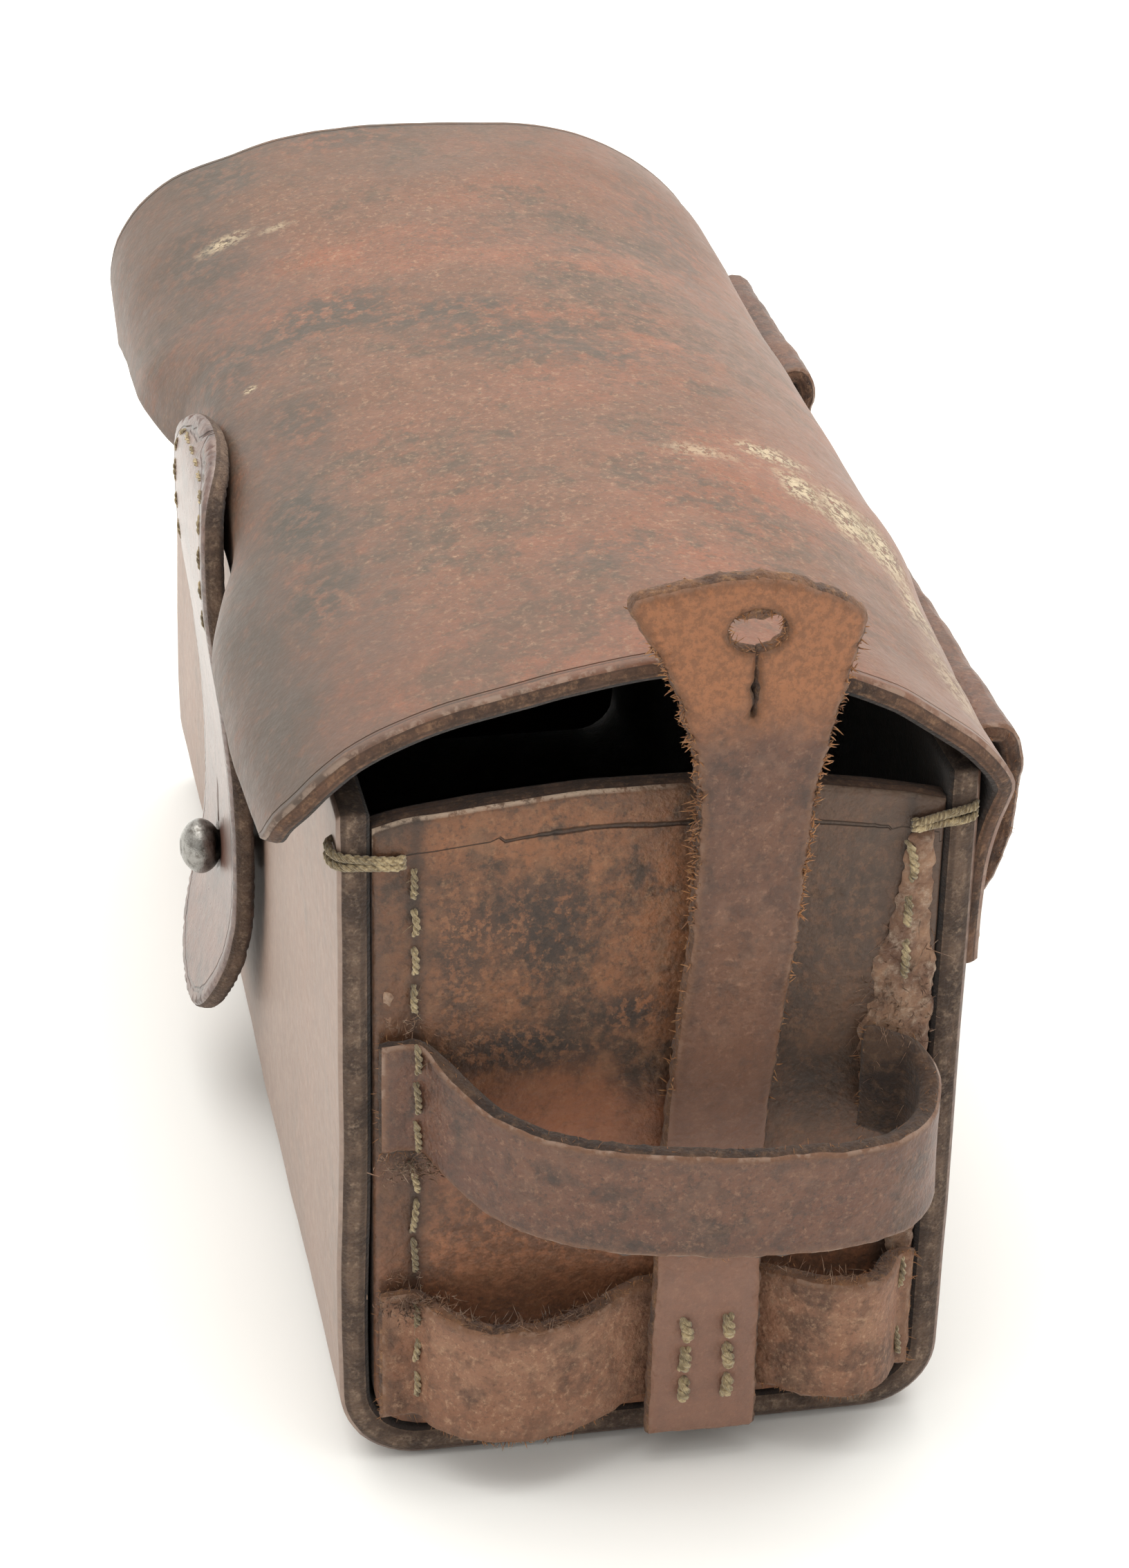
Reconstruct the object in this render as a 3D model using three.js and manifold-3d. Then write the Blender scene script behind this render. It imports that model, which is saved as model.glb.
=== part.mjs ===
// Leather case for a folding camera or a small instrument: a thick U-shaped
// leather wrap, two end gussets, an arched flap that folds at the back, a
// closing tab on a ball stud, two loops and an upright keyhole strap on each
// end, and two belt loops on the back.
// Units are millimetres. +X is the right end, -Y the front, +Z up. The origin
// is the centre of the underside.
import * as THREE from 'three';
import Module from 'manifold-3d';
import { mergeVertices } from 'three/addons/utils/BufferGeometryUtils.js';

// ---- driving dimensions -------------------------------------------------
const LENGTH = 187;          // outside of one gusset to the outside of the other
const DEPTH = 76;            // front face to back face of the wrap
const WRAP_H = 91;           // top edges of the wrap
const WRAP_T = 3.8;          // wrap leather
const R_FRONT = 10;          // outside bend, front bottom edge
const R_BACK = 9;            // outside bend, back bottom edge
const GUSSET_T = 3.8;        // end panel leather
const GAP = 0.3;             // clearance left where two pieces touch
const FLAP_X = 96;           // half length of the flap
const FLAP_T = 2.7;          // flap leather
const FLAP_LOW = 85;         // front lower edge of the flap
const HINGE_Y = 44.8;        // fold of the flap at the back
const HINGE_Z = 89.0;
const ROOT_LOW = 58.5;       // lower edge of the flap's sewn part
const TAB_HALF = 18;         // half width of the closing tab
const TAB_T = 3.0;           // closing tab leather
const TAB_TOP = 99.6;
const TAB_SPLIT = 74.0;      // where the sewn part ends and the tongue bends
const TAB_LOW = 14.3;
const STUD_Z = 37.0;
const STUD_R = 3.9;          // ball radius
const STUD_BALL_Y = -44.6;   // centre of the ball
const STUD_HOLE_R = 4.6;     // eye in the tongue
const BAND_T = 2.6;          // loop leather
const STRAP_T = 2.8;         // end strap leather
const STRAP_SPLIT = 62.3;    // where the end strap bends outwards
const THREAD_W = 1.0;
const THREAD_T = 0.7;

const EX = LENGTH / 2;       // outer face of the end panels
const EY = DEPTH / 2;

const wasm = await Module();
wasm.setup();

// ---- helpers ------------------------------------------------------------
function interp(table, x) {
  if (x <= table[0][0]) return table[0][1];
  for (let i = 1; i < table.length; i++) {
    if (x <= table[i][0]) {
      const [x0, y0] = table[i - 1];
      const [x1, y1] = table[i];
      return y0 + (y1 - y0) * (x - x0) / (x1 - x0);
    }
  }
  return table[table.length - 1][1];
}

function range(a, b, n) {
  return Array.from({ length: n + 1 }, (_, i) => a + (b - a) * i / n);
}

function smooth(a, b, x) {
  const t = Math.min(1, Math.max(0, (x - a) / (b - a)));
  return t * t * (3 - 2 * t);
}

// A closed sheet of leather between two grids of points.
function slab(top, bot) {
  const n = top.length;
  const m = top[0].length;
  const pos = [];
  for (const g of [top, bot]) for (const row of g) for (const p of row) pos.push(...p);
  const T = (i, j) => i * m + j;
  const B = (i, j) => n * m + i * m + j;
  let idx = [];
  const quad = (a, b, c, d) => idx.push(a, b, c, a, c, d);
  for (let i = 0; i < n - 1; i++) {
    for (let j = 0; j < m - 1; j++) {
      quad(T(i, j), T(i + 1, j), T(i + 1, j + 1), T(i, j + 1));
      quad(B(i, j), B(i, j + 1), B(i + 1, j + 1), B(i + 1, j));
    }
    quad(T(i, 0), B(i, 0), B(i + 1, 0), T(i + 1, 0));
    quad(T(i, m - 1), T(i + 1, m - 1), B(i + 1, m - 1), B(i, m - 1));
  }
  for (let j = 0; j < m - 1; j++) {
    quad(T(0, j), T(0, j + 1), B(0, j + 1), B(0, j));
    quad(T(n - 1, j), B(n - 1, j), B(n - 1, j + 1), T(n - 1, j + 1));
  }
  let vol = 0;
  const v = (i) => new THREE.Vector3(pos[3 * i], pos[3 * i + 1], pos[3 * i + 2]);
  for (let i = 0; i < idx.length; i += 3) vol += v(idx[i]).dot(v(idx[i + 1]).cross(v(idx[i + 2])));
  if (vol < 0) {
    const flipped = [];
    for (let i = 0; i < idx.length; i += 3) flipped.push(idx[i], idx[i + 2], idx[i + 1]);
    idx = flipped;
  }
  const g = new THREE.BufferGeometry();
  g.setAttribute('position', new THREE.Float32BufferAttribute(pos, 3));
  g.setIndex(idx);
  g.computeVertexNormals();
  return g;
}

// A band of leather: centre line points, half-width vectors, thickness.
function band(points, halfs, thick) {
  const P = points.map((p) => new THREE.Vector3(...p));
  const W = halfs.map((p) => new THREE.Vector3(...p));
  const outer = [];
  const inner = [];
  for (let i = 0; i < P.length; i++) {
    const t = new THREE.Vector3().subVectors(P[Math.min(i + 1, P.length - 1)], P[Math.max(i - 1, 0)]).normalize();
    const n = new THREE.Vector3().crossVectors(t, W[i]).normalize().multiplyScalar(thick / 2);
    const row = (s) => [-1, 1].map((k) => P[i].clone().addScaledVector(W[i], k).addScaledVector(n, s).toArray());
    outer.push(row(1));
    inner.push(row(-1));
  }
  return slab(outer, inner);
}

// A thread run lying on a surface: points on the surface and the normal there.
function thread(points, normals) {
  const P = points.map((p) => new THREE.Vector3(...p));
  const outer = [];
  const inner = [];
  for (let i = 0; i < P.length; i++) {
    const n = new THREE.Vector3(...normals[i]).normalize();
    const t = new THREE.Vector3().subVectors(P[Math.min(i + 1, P.length - 1)], P[Math.max(i - 1, 0)]).normalize();
    const b = new THREE.Vector3().crossVectors(t, n).normalize().multiplyScalar(THREAD_W / 2);
    const row = (h) => [-1, 1].map((k) => P[i].clone().addScaledVector(b, k).addScaledVector(n, h).toArray());
    outer.push(row(GAP + THREAD_T));
    inner.push(row(GAP));
  }
  return slab(outer, inner);
}

function refine(pts, n) {
  const c = new THREE.CatmullRomCurve3(pts.map((p) => new THREE.Vector3(...p)), false, 'centripetal');
  return c.getPoints(n).map((p) => p.toArray());
}

function toManifold(geometry) {
  let g = geometry.clone();
  g.deleteAttribute('normal');
  g.deleteAttribute('uv');
  g = mergeVertices(g, 1e-5);
  return new wasm.Manifold(new wasm.Mesh({
    numProp: 3,
    vertProperties: new Float32Array(g.getAttribute('position').array),
    triVerts: new Uint32Array(g.getIndex().array),
  }));
}

function toGeometry(solid) {
  const m = solid.getMesh();
  const g = new THREE.BufferGeometry();
  g.setAttribute('position', new THREE.BufferAttribute(new Float32Array(m.vertProperties), 3));
  g.setIndex(new THREE.BufferAttribute(new Uint32Array(m.triVerts), 1));
  g.computeVertexNormals();
  return g;
}

// Extrusion of a (Y, Z) outline along X.
const YZ_TO_X = new THREE.Matrix4().makeBasis(
  new THREE.Vector3(0, 1, 0), new THREE.Vector3(0, 0, 1), new THREE.Vector3(1, 0, 0));

function extrudeX(shape, x0, x1, curveSegments = 6) {
  const g = new THREE.ExtrudeGeometry(shape, { depth: x1 - x0, bevelEnabled: false, curveSegments });
  g.applyMatrix4(YZ_TO_X);
  g.translate(x0, 0, 0);
  return g;
}

// ---- materials ----------------------------------------------------------
const leather = (hex, rough) => () => new THREE.MeshStandardMaterial({ color: hex, roughness: rough, metalness: 0 });
const outerLeather = leather(0x6d3f2c, 0.45);
const panelLeather = leather(0x8a4a28, 0.55);
const flapLeather = leather(0x74402f, 0.5);
const strapLeather = leather(0x65402f, 0.6);
const threadMat = leather(0xa48c58, 0.85);
const metal = () => new THREE.MeshStandardMaterial({ color: 0xc9c8c2, roughness: 0.2, metalness: 1 });

const root = new THREE.Group();
function add(name, geometry, material, parent = root) {
  const mesh = new THREE.Mesh(geometry, material());
  mesh.name = name;
  parent.add(mesh);
  return mesh;
}

// ---- body wrap ----------------------------------------------------------
{
  const s = new THREE.Shape();
  const ri = R_FRONT - WRAP_T;
  const rb = R_BACK - WRAP_T;
  s.moveTo(-EY, WRAP_H);
  s.lineTo(-EY, R_FRONT);
  s.absarc(-EY + R_FRONT, R_FRONT, R_FRONT, Math.PI, 1.5 * Math.PI, false);
  s.lineTo(EY - R_BACK, 0);
  s.absarc(EY - R_BACK, R_BACK, R_BACK, 1.5 * Math.PI, 2 * Math.PI, false);
  s.lineTo(EY, WRAP_H);
  s.lineTo(EY - WRAP_T, WRAP_H);
  s.lineTo(EY - WRAP_T, R_BACK);
  s.absarc(EY - R_BACK, R_BACK, rb, 2 * Math.PI, 1.5 * Math.PI, true);
  s.lineTo(-EY + R_FRONT, WRAP_T);
  s.absarc(-EY + R_FRONT, R_FRONT, ri, 1.5 * Math.PI, Math.PI, true);
  s.lineTo(-EY + WRAP_T, WRAP_H);
  s.closePath();
  const wrap = toManifold(extrudeX(s, -EX, EX, 7));
  const drill = new THREE.CylinderGeometry(1.5, 1.5, 12, 16);
  drill.translate(0, -EY, STUD_Z);
  add('body_wrap', toGeometry(wrap.subtract(toManifold(drill))), outerLeather);
}

// ---- flap ---------------------------------------------------------------
// Outer profile of the flap from its front lower edge to the back fold. The
// front hangs in a shallow bulge and is drawn in where the closing tab is.
const FLAP_PROFILE = [
  [-46.0, FLAP_LOW], [-45.6, 90.5], [-43.0, 94.6], [-39.4, 98.0], [-35.0, 101.0], [-29.0, 103.6],
  [-20.0, 106.2], [-10.0, 108.2], [0.0, 109.3], [10.0, 108.9], [19.5, 107.0], [28.0, 103.8],
  [34.5, 99.8], [39.5, 95.4], [42.9, 91.8], [44.5, HINGE_Z + 0.25],
];
const DRAWN_IN = [[-41.3, FLAP_LOW], [-41.3, 90.5], [-41.1, 94.2], [-39.3, 98.0], [-35.0, 101.0]];

function flapProfile(x) {
  const w = smooth(19, 46, Math.abs(x));
  return FLAP_PROFILE.map((p, i) => (i < DRAWN_IN.length
    ? [DRAWN_IN[i][0] + (p[0] - DRAWN_IN[i][0]) * w, DRAWN_IN[i][1] + (p[1] - DRAWN_IN[i][1]) * w]
    : p));
}

// Inner side of a profile. The end that meets the fold is cut level.
function offsetProfile(profile, d, level) {
  return profile.map((p, i) => {
    if (i === level) return [p[0] - d, p[1]];
    const a = profile[Math.max(i - 1, 0)];
    const b = profile[Math.min(i + 1, profile.length - 1)];
    const ty = b[0] - a[0];
    const tz = b[1] - a[1];
    const l = Math.hypot(ty, tz);
    return [p[0] + d * tz / l, p[1] - d * ty / l];
  });
}

{
  const xs = [-FLAP_X, -70, -50, -42, -34, -26, -18.5, 0, 18.5, 26, 34, 42, 50, 70, FLAP_X];
  const outer = [];
  const inner = [];
  for (const x of xs) {
    const prof = flapProfile(x);
    outer.push(prof.map((p) => [x, p[0], p[1]]));
    inner.push(offsetProfile(prof, FLAP_T, prof.length - 1).map((p) => [x, p[0], p[1]]));
  }
  add('flap', slab(outer, inner), flapLeather);
}

// The flap's own leather goes on down the back, where it is sewn to the wrap.
{
  const prof = [[44.5, HINGE_Z - 0.35], [44.3, 86.0], [43.3, 82.0], [42.1, 78.5], [41.5, 75.5], [41.4, 68.0], [41.4, ROOT_LOW]];
  const outer = [];
  const inner = [];
  for (const x of [-93, 0, 93]) {
    outer.push(prof.map((p) => [x, p[0], p[1]]));
    inner.push(offsetProfile(prof, FLAP_T + 0.2, 0).map((p) => [x, Math.max(p[0], EY + GAP), p[1]]));
  }
  add('flap_root', slab(outer, inner), flapLeather);
}
add('flap_seam_thread', thread([[-90, 41.4, 61.2], [90, 41.4, 61.2]], [[0, 1, 0], [0, 1, 0]]), threadMat);

// ---- closing tab --------------------------------------------------------
// Outer face of the closing tab from its sewn top to the free end.
const TAB_Y = [
  [TAB_LOW, -46.6], [17, -46.0], [22, -44.7], [28, -43.1], [34, -41.9], [40, -41.6], [48, -41.6], [56, -41.9],
  [66, -42.8], [TAB_SPLIT, -44.0], [80, -44.7], [85, -44.9], [90, -44.9], [94, -44.6], [96, -44.0], [98, -42.9], [TAB_TOP, -41.7],
];

function tabWidth(z) {
  const top = Math.max(0, (z - 87) / (TAB_TOP + 0.35 - 87));
  const low = Math.max(0, (32.3 - z) / (32.3 - TAB_LOW + 0.35));
  return TAB_HALF * Math.pow(1 - Math.pow(top, 2.4), 1 / 2.4) * Math.sqrt(1 - low * low);
}

function tabPiece(zs) {
  const outer = [];
  const inner = [];
  for (const z of zs) {
    const w = tabWidth(z);
    const y = interp(TAB_Y, z);
    const cols = range(-w, w, 6);
    outer.push(cols.map((x) => [x, y, z]));
    inner.push(cols.map((x) => [x, y + TAB_T, z]));
  }
  return slab(outer, inner);
}
add('closing_tab_root', tabPiece([TAB_SPLIT + 0.3, 78, 82, 87, 90, 92.5, 94.5, 96, 97.2, 98.2, 99.0, TAB_TOP]), strapLeather);
{
  const body = toManifold(tabPiece([TAB_LOW, 14.9, 16, 17.6, 20, 23, 26.5, 30, 34, 40, 48, 56, 66, TAB_SPLIT - 0.3]));
  const eye = new THREE.CylinderGeometry(STUD_HOLE_R, STUD_HOLE_R, 20, 24);
  eye.translate(0, STUD_BALL_Y, STUD_Z);
  add('closing_tab_tongue', toGeometry(body.subtract(toManifold(eye))), strapLeather);
}
{
  const pts = [];
  const nrm = [];
  const inset = 3;
  const run = [77, 82, 87, 90, 92.5, 94.2];
  for (const z of run) { pts.push([-(tabWidth(z) - inset), interp(TAB_Y, z), z]); }
  for (const x of [-9, -4.5, 0, 4.5, 9]) pts.push([x, interp(TAB_Y, 96.2), 96.2]);
  for (const z of [...run].reverse()) { pts.push([tabWidth(z) - inset, interp(TAB_Y, z), z]); }
  for (const p of pts) nrm.push([0, -1, p[2] > 95 ? 0.5 : 0]);
  add('closing_tab_thread', thread(pts, nrm), threadMat);
}

// ---- ball stud ----------------------------------------------------------
{
  const lathe = (pts, seg = 24) => {
    const g = new THREE.LatheGeometry(pts.map((p) => new THREE.Vector2(p[0], p[1])), seg);
    g.deleteAttribute('uv');
    g.deleteAttribute('normal');
    const merged = mergeVertices(g, 1e-4);
    merged.rotateX(Math.PI); // lathe axis points to -Y: height h lies at y = -h
    return merged;
  };
  // Profiles are (radius, height in front of the origin plane).
  const ball = [];
  const cy = -STUD_BALL_Y;
  ball.push([0, 41.2], [1.4, 41.2], [1.4, EY + GAP], [3.6, EY + GAP], [3.6, EY + GAP + 0.7], [2.1, EY + GAP + 1.1]);
  for (const a of range(-52, 90, 9)) {
    const r = STUD_R * Math.cos(a * Math.PI / 180);
    ball.push([Math.max(0, a === 90 ? 0 : r), cy + 2.8 * Math.sin(a * Math.PI / 180)]);
  }
  const g1 = lathe(ball);
  g1.translate(0, 0, STUD_Z);
  add('stud_ball', solidOrient(g1), metal);
  const IN = EY - WRAP_T;
  const screw = [[0, IN - 2.7], [1.6, IN - 2.6], [2.8, IN - 2.1], [3.2, IN - 1.4], [1.1, IN - 1.4], [1.1, 40.8], [0, 40.8]];
  const g2 = lathe(screw);
  g2.translate(0, 0, STUD_Z);
  add('stud_screw', solidOrient(g2), metal);
  const washer = [[1.5, IN - 1.1], [5, IN - 1.1], [5, IN - GAP], [1.5, IN - GAP], [1.5, IN - 1.1]];
  const g3 = lathe(washer);
  g3.translate(0, 0, STUD_Z);
  add('stud_washer', solidOrient(g3), metal);
}

function solidOrient(g) {
  const p = g.getAttribute('position');
  const ix = Array.from(g.getIndex().array);
  const out = [];
  const v = (i) => new THREE.Vector3().fromBufferAttribute(p, i);
  let vol = 0;
  for (let i = 0; i < ix.length; i += 3) {
    const [a, b, c] = [v(ix[i]), v(ix[i + 1]), v(ix[i + 2])];
    const area = new THREE.Vector3().subVectors(b, a).cross(new THREE.Vector3().subVectors(c, a)).length();
    if (area < 1e-9) continue;
    vol += a.dot(b.clone().cross(c));
    out.push(ix[i], ix[i + 1], ix[i + 2]);
  }
  if (vol < 0) for (let i = 0; i < out.length; i += 3) [out[i + 1], out[i + 2]] = [out[i + 2], out[i + 1]];
  g.setIndex(out);
  g.computeVertexNormals();
  return g;
}

// ---- one end: gusset, loops, strap and threads ---------------------------
// Loop centre lines: y, distance of the middle of the leather from the end
// panel, middle height, half height.
const UPPER_LOOP = [
  [-33.2, 1.7, 53.5, 7.4], [-28.6, 1.8, 53.4, 7.3], [-26.2, 3.4, 52.0, 7.1], [-23.6, 6.2, 50.0, 7.0], [-19.0, 10.6, 47.8, 7.0],
  [-12.0, 14.0, 46.6, 7.0], [-4.5, 16.2, 46.0, 7.0], [4.0, 17.4, 45.5, 7.0], [12.5, 17.8, 45.2, 7.0], [20.5, 17.2, 44.9, 6.9],
  [27.0, 14.8, 44.6, 6.9], [30.6, 11.0, 44.8, 6.9], [32.2, 7.2, 46.0, 6.9], [32.0, 4.2, 47.6, 6.9], [30.6, 2.3, 49.0, 6.9],
  [28.4, 1.8, 50.0, 6.9], [25.4, 1.7, 51.0, 6.8],
];
const LOWER_LOOP = [
  [-33.2, 1.7, 16.4, 9.0], [-28.6, 1.8, 16.2, 9.0], [-26.0, 4.2, 15.6, 8.6], [-21.5, 7.4, 15.4, 8.2], [-15.5, 8.4, 15.6, 8.2],
  [-9.0, 6.6, 15.8, 8.2], [-4.5, 3.6, 16.0, 8.2], [-1.2, 1.8, 16.0, 8.2], [6.0, 1.7, 16.2, 8.2], [13.2, 1.8, 16.4, 8.2],
  [16.2, 3.8, 16.8, 8.3], [19.6, 6.8, 17.2, 8.4], [23.6, 8.0, 17.2, 8.4], [27.4, 6.8, 17.0, 8.4], [29.6, 3.6, 16.8, 8.4],
  [31.0, 1.9, 16.6, 8.4], [33.2, 1.7, 16.6, 8.4],
];
// End strap: height, distance of its inner face from the end panel.
const STRAP_OFF = [[3.9, 3.7], [27, 3.7], [31, 2.4], [35, 1.0], [41, 0.6], [50, 0.7], [STRAP_SPLIT, 1.7], [75, 3.0], [86, 4.1], [122, 6.0]];
const STRAP_SIDES = [
  [3.9, -0.5, 12.7], [20, -0.4, 12.7], [31, 0.2, 12.6], [35, 0.6, 12.8], [41, 1.0, 13.0], [50, 1.5, 13.4], [STRAP_SPLIT, 2.1, 14.3],
];
const HEAD_LEFT = [[2.15, STRAP_SPLIT + 0.3], [2.9, 75], [2.8, 86], [2.7, 92], [2.4, 97], [1.2, 102.2], [-0.4, 107], [-2.4, 111.4], [-4.8, 115], [-6.1, 117.6]];
const HEAD_TOP = [[-4.6, 119.0], [-0.5, 120.4], [4.2, 121.4], [8.2, 121.6], [12.4, 120.5], [17.0, 118.2], [20.6, 115.6], [21.0, 114.6]];
const HEAD_RIGHT = [[19.9, 111.4], [18.7, 107], [17.5, 102.2], [16.5, 97], [15.9, 92], [15.5, 86], [15.2, 75], [14.35, STRAP_SPLIT + 0.3]];

// Fold of a strap that is turned down over the upper loop: distance of the
// middle of the leather from the end panel, and height.
const FOLD = [[2.9, 56], [4.0, 61], [6.6, 66], [11.0, 68.8], [16.0, 68.4], [20.0, 65.4], [21.8, 61.4]];
const FOLD_END = [21.8, 61.4];
const FOLD_FROM = 85.2;      // place along the strap where the fold ends

function makeEnd(prefix, group, folded) {
  // End panel with an arched top edge.
  const half = EY - WRAP_T - GAP;
  const low = WRAP_T + GAP;
  const g = new THREE.Shape();
  const rf = R_FRONT - WRAP_T - 0.1;
  const rb = R_BACK - WRAP_T - 0.1;
  g.moveTo(-half, low + rf);
  g.absarc(-half + rf, low + rf, rf, Math.PI, 1.5 * Math.PI, false);
  g.lineTo(half - rb, low);
  g.absarc(half - rb, low + rb, rb, 1.5 * Math.PI, 2 * Math.PI, false);
  for (const p of [[half, 87.6], [25.6, 89.2], [18.2, 90.4], [10, 91.3], [3, 91.7], [-9, 91.8], [-21.5, 90.9], [-28, 90.1], [-half, 89.2]]) g.lineTo(...p);
  g.closePath();
  add(`${prefix}_gusset`, extrudeX(g, EX - GUSSET_T, EX, 5), panelLeather, group);

  const loop = (table, n) => {
    const pts = refine(table.map((r) => [EX + r[1], r[0], r[2]]), n);
    const hw = refine(table.map((r) => [0, r[0], r[3]]), n).map((p) => [0, 0, p[2]]);
    return band(pts, hw, BAND_T);
  };
  add(`${prefix}_upper_loop`, loop(UPPER_LOOP, 40), strapLeather, group);
  add(`${prefix}_lower_loop`, loop(LOWER_LOOP, 44), strapLeather, group);

  // Lower part of the end strap: sewn over the lower loop, then up the panel.
  // Where the strap is folded down, it goes on over the upper loop.
  const outer = [];
  const inner = [];
  const zs = folded ? [3.9, 12, 20, 27, 31, 35, 41, 50, 56] : [3.9, 12, 20, 27, 31, 35, 41, 50, STRAP_SPLIT];
  for (const z of zs) {
    const l = interp(STRAP_SIDES.map((r) => [r[0], r[1]]), z);
    const r = interp(STRAP_SIDES.map((q) => [q[0], q[2]]), z);
    const x = EX + interp(STRAP_OFF, z);
    outer.push([[x + STRAP_T, l, z], [x + STRAP_T, r, z]]);
    inner.push([[x, l, z], [x, r, z]]);
  }
  if (folded) {
    const mid = refine(FOLD.map((q) => [q[0], 0, q[1]]), 14).slice(1);
    mid.forEach((q, i) => {
      const a = mid[Math.max(i - 1, 0)];
      const b = mid[Math.min(i + 1, mid.length - 1)];
      const l = Math.hypot(b[0] - a[0], b[2] - a[2]);
      const nx = (b[2] - a[2]) / l;
      const nz = -(b[0] - a[0]) / l;
      const last = i === mid.length - 1;
      const at = (k, y) => [EX + q[0] + k * (last ? -1 : nx) * STRAP_T / 2, y, q[2] + k * (last ? 0 : nz) * STRAP_T / 2];
      const w = i / (mid.length - 1);
      const left = 1.8 + w;
      const right = 13.9 + w * 1.5;
      outer.push([at(1, left), at(1, right)]);
      inner.push([at(-1, left), at(-1, right)]);
    });
  }
  add(`${prefix}_strap_lower`, slab(outer, inner), strapLeather, group);

  // Upper part: a flared head with an eye and a slit.
  const s = new THREE.Shape();
  const sideL = folded ? [[2.8, FOLD_FROM], ...HEAD_LEFT.filter((q) => q[1] > FOLD_FROM + 1)] : HEAD_LEFT;
  const sideR = folded ? [...HEAD_RIGHT.filter((q) => q[1] > FOLD_FROM + 1), [15.4, FOLD_FROM]] : HEAD_RIGHT;
  const outline = [...sideL, ...HEAD_TOP, ...sideR].reverse();
  s.moveTo(...outline[0]);
  for (const p of outline.slice(1)) s.lineTo(...p);
  s.closePath();
  const eye = new THREE.Path();
  const eyePts = [];
  for (let k = 0; k < 20; k++) {
    const a = -2 * Math.PI * k / 20;
    eyePts.push([8.1 + 3.9 * Math.cos(a), 114.9 + 3.2 * Math.sin(a)]);
  }
  eye.moveTo(...eyePts[0]);
  for (const p of eyePts.slice(1)) eye.lineTo(...p);
  eye.closePath();
  s.holes.push(eye);
  let head = extrudeX(s, EX, EX + STRAP_T, 1);
  const p = head.getAttribute('position');
  for (let i = 0; i < p.count; i++) {
    if (folded) {
      // hangs head down in front of the upper loop
      const z = FOLD_END[1] - GAP - (p.getZ(i) - FOLD_FROM);
      p.setZ(i, z);
      p.setX(i, p.getX(i) + FOLD_END[0] - STRAP_T / 2 + (FOLD_END[1] - z) * 0.02);
    } else p.setX(i, p.getX(i) + interp(STRAP_OFF, p.getZ(i)));
  }
  if (folded) {
    head.deleteAttribute('normal');
    head.deleteAttribute('uv');
    head = solidOrient(mergeVertices(head, 1e-5));
  }
  add(`${prefix}_strap_upper`, head, strapLeather, group);

  // Threads. The front seam starts over the wrap's outer face, runs along the
  // end face and then down, over the sewn ends of both loops.
  const up = [1, 0, 0];
  const over = 3.4;
  const fy = -29;
  const frontPts = [[EX - 3.5, -EY - 0.1, 85], [EX - 0.3, -EY - 0.25, 85], [EX + 0.25, -EY + 0.3, 85], [EX + 0.1, -33, 84.8], [EX, fy - 0.6, 84.4], [EX, fy, 83.4],
    [EX, fy, 64], [EX + over, fy, 62.2], [EX + over, fy, 44.8], [EX, fy, 43], [EX, fy, 29], [EX + over, fy, 27], [EX + over, fy, 9]];
  const frontNrm = [[0, -1, 0], [0.1, -1, 0], [1, -0.6, 0], up, up, up, up, up, up, up, up, up, up];
  add(`${prefix}_front_seam_thread`, thread(frontPts, frontNrm), threadMat, group);
  const by = 30;
  add(`${prefix}_back_seam_thread_upper`, thread(
    [[EX, EY - 0.8, 85.6], [EX, 34, 84.8], [EX, by + 0.6, 83.9], [EX, by, 82.8], [EX, by, 63]], [up, up, up, up, up]), threadMat, group);
  add(`${prefix}_back_seam_thread_lower`, thread(
    [[EX, by + 1.8, 36], [EX, by + 1.8, 28.5], [EX + over, by + 2, 26.6], [EX + over, by + 2, 9]], [up, up, up, up]), threadMat, group);
  add(`${prefix}_bottom_seam_thread`, thread([[EX, -25, 5.6], [EX, 25, 5.6]], [up, up]), threadMat, group);
  const tabX = EX + 3.7 + STRAP_T;
  add(`${prefix}_strap_thread_front`, thread([[tabX, 3.5, 24], [tabX, 3.5, 9.5]], [up, up]), threadMat, group);
  add(`${prefix}_strap_thread_back`, thread([[tabX, 9.0, 24], [tabX, 9.0, 9.5]], [up, up]), threadMat, group);

  // Belt loop on the back: a wide strip of leather standing off the back.
  const pathYZ = [[43.3, 70.6], [43.3, 75.0], [44.3, 79.2], [46.2, 82.0], [48.6, 82.2], [50.1, 79.4], [50.2, 73.0], [49.2, 66.5],
    [46.8, 61.0], [43.1, 56.6], [40.5, 53.2], [39.75, 49.5], [39.7, 44.5]];
  const [loopMid, loopHalf] = folded ? [71, 21] : [34, 35];
  const smoothPath = refine(pathYZ.map((q) => [loopMid, q[0], q[1]]), 30);
  add(`${prefix}_belt_loop`, band(smoothPath, smoothPath.map(() => [loopHalf, 0, 0]), BAND_T), strapLeather, group);
  const back = [0, 1, 0];
  add(`${prefix}_belt_loop_thread_upper`, thread([[loopMid - loopHalf + 3, 44.65, 73], [loopMid + loopHalf - 3, 44.65, 73]], [back, back]), threadMat, group);
  add(`${prefix}_belt_loop_thread_lower`, thread([[loopMid - loopHalf + 3, 41.08, 47.2], [loopMid + loopHalf - 3, 41.08, 47.2]], [back, back]), threadMat, group);
}

const right = new THREE.Group();
makeEnd('right', right, false);
root.add(right);
const left = new THREE.Group();
makeEnd('left', left, true);
left.scale.x = -1;
root.add(left);

export default root;
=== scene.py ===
import bpy, math
import numpy as np
from mathutils import Vector, Matrix, geometry, noise as mnoise


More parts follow.
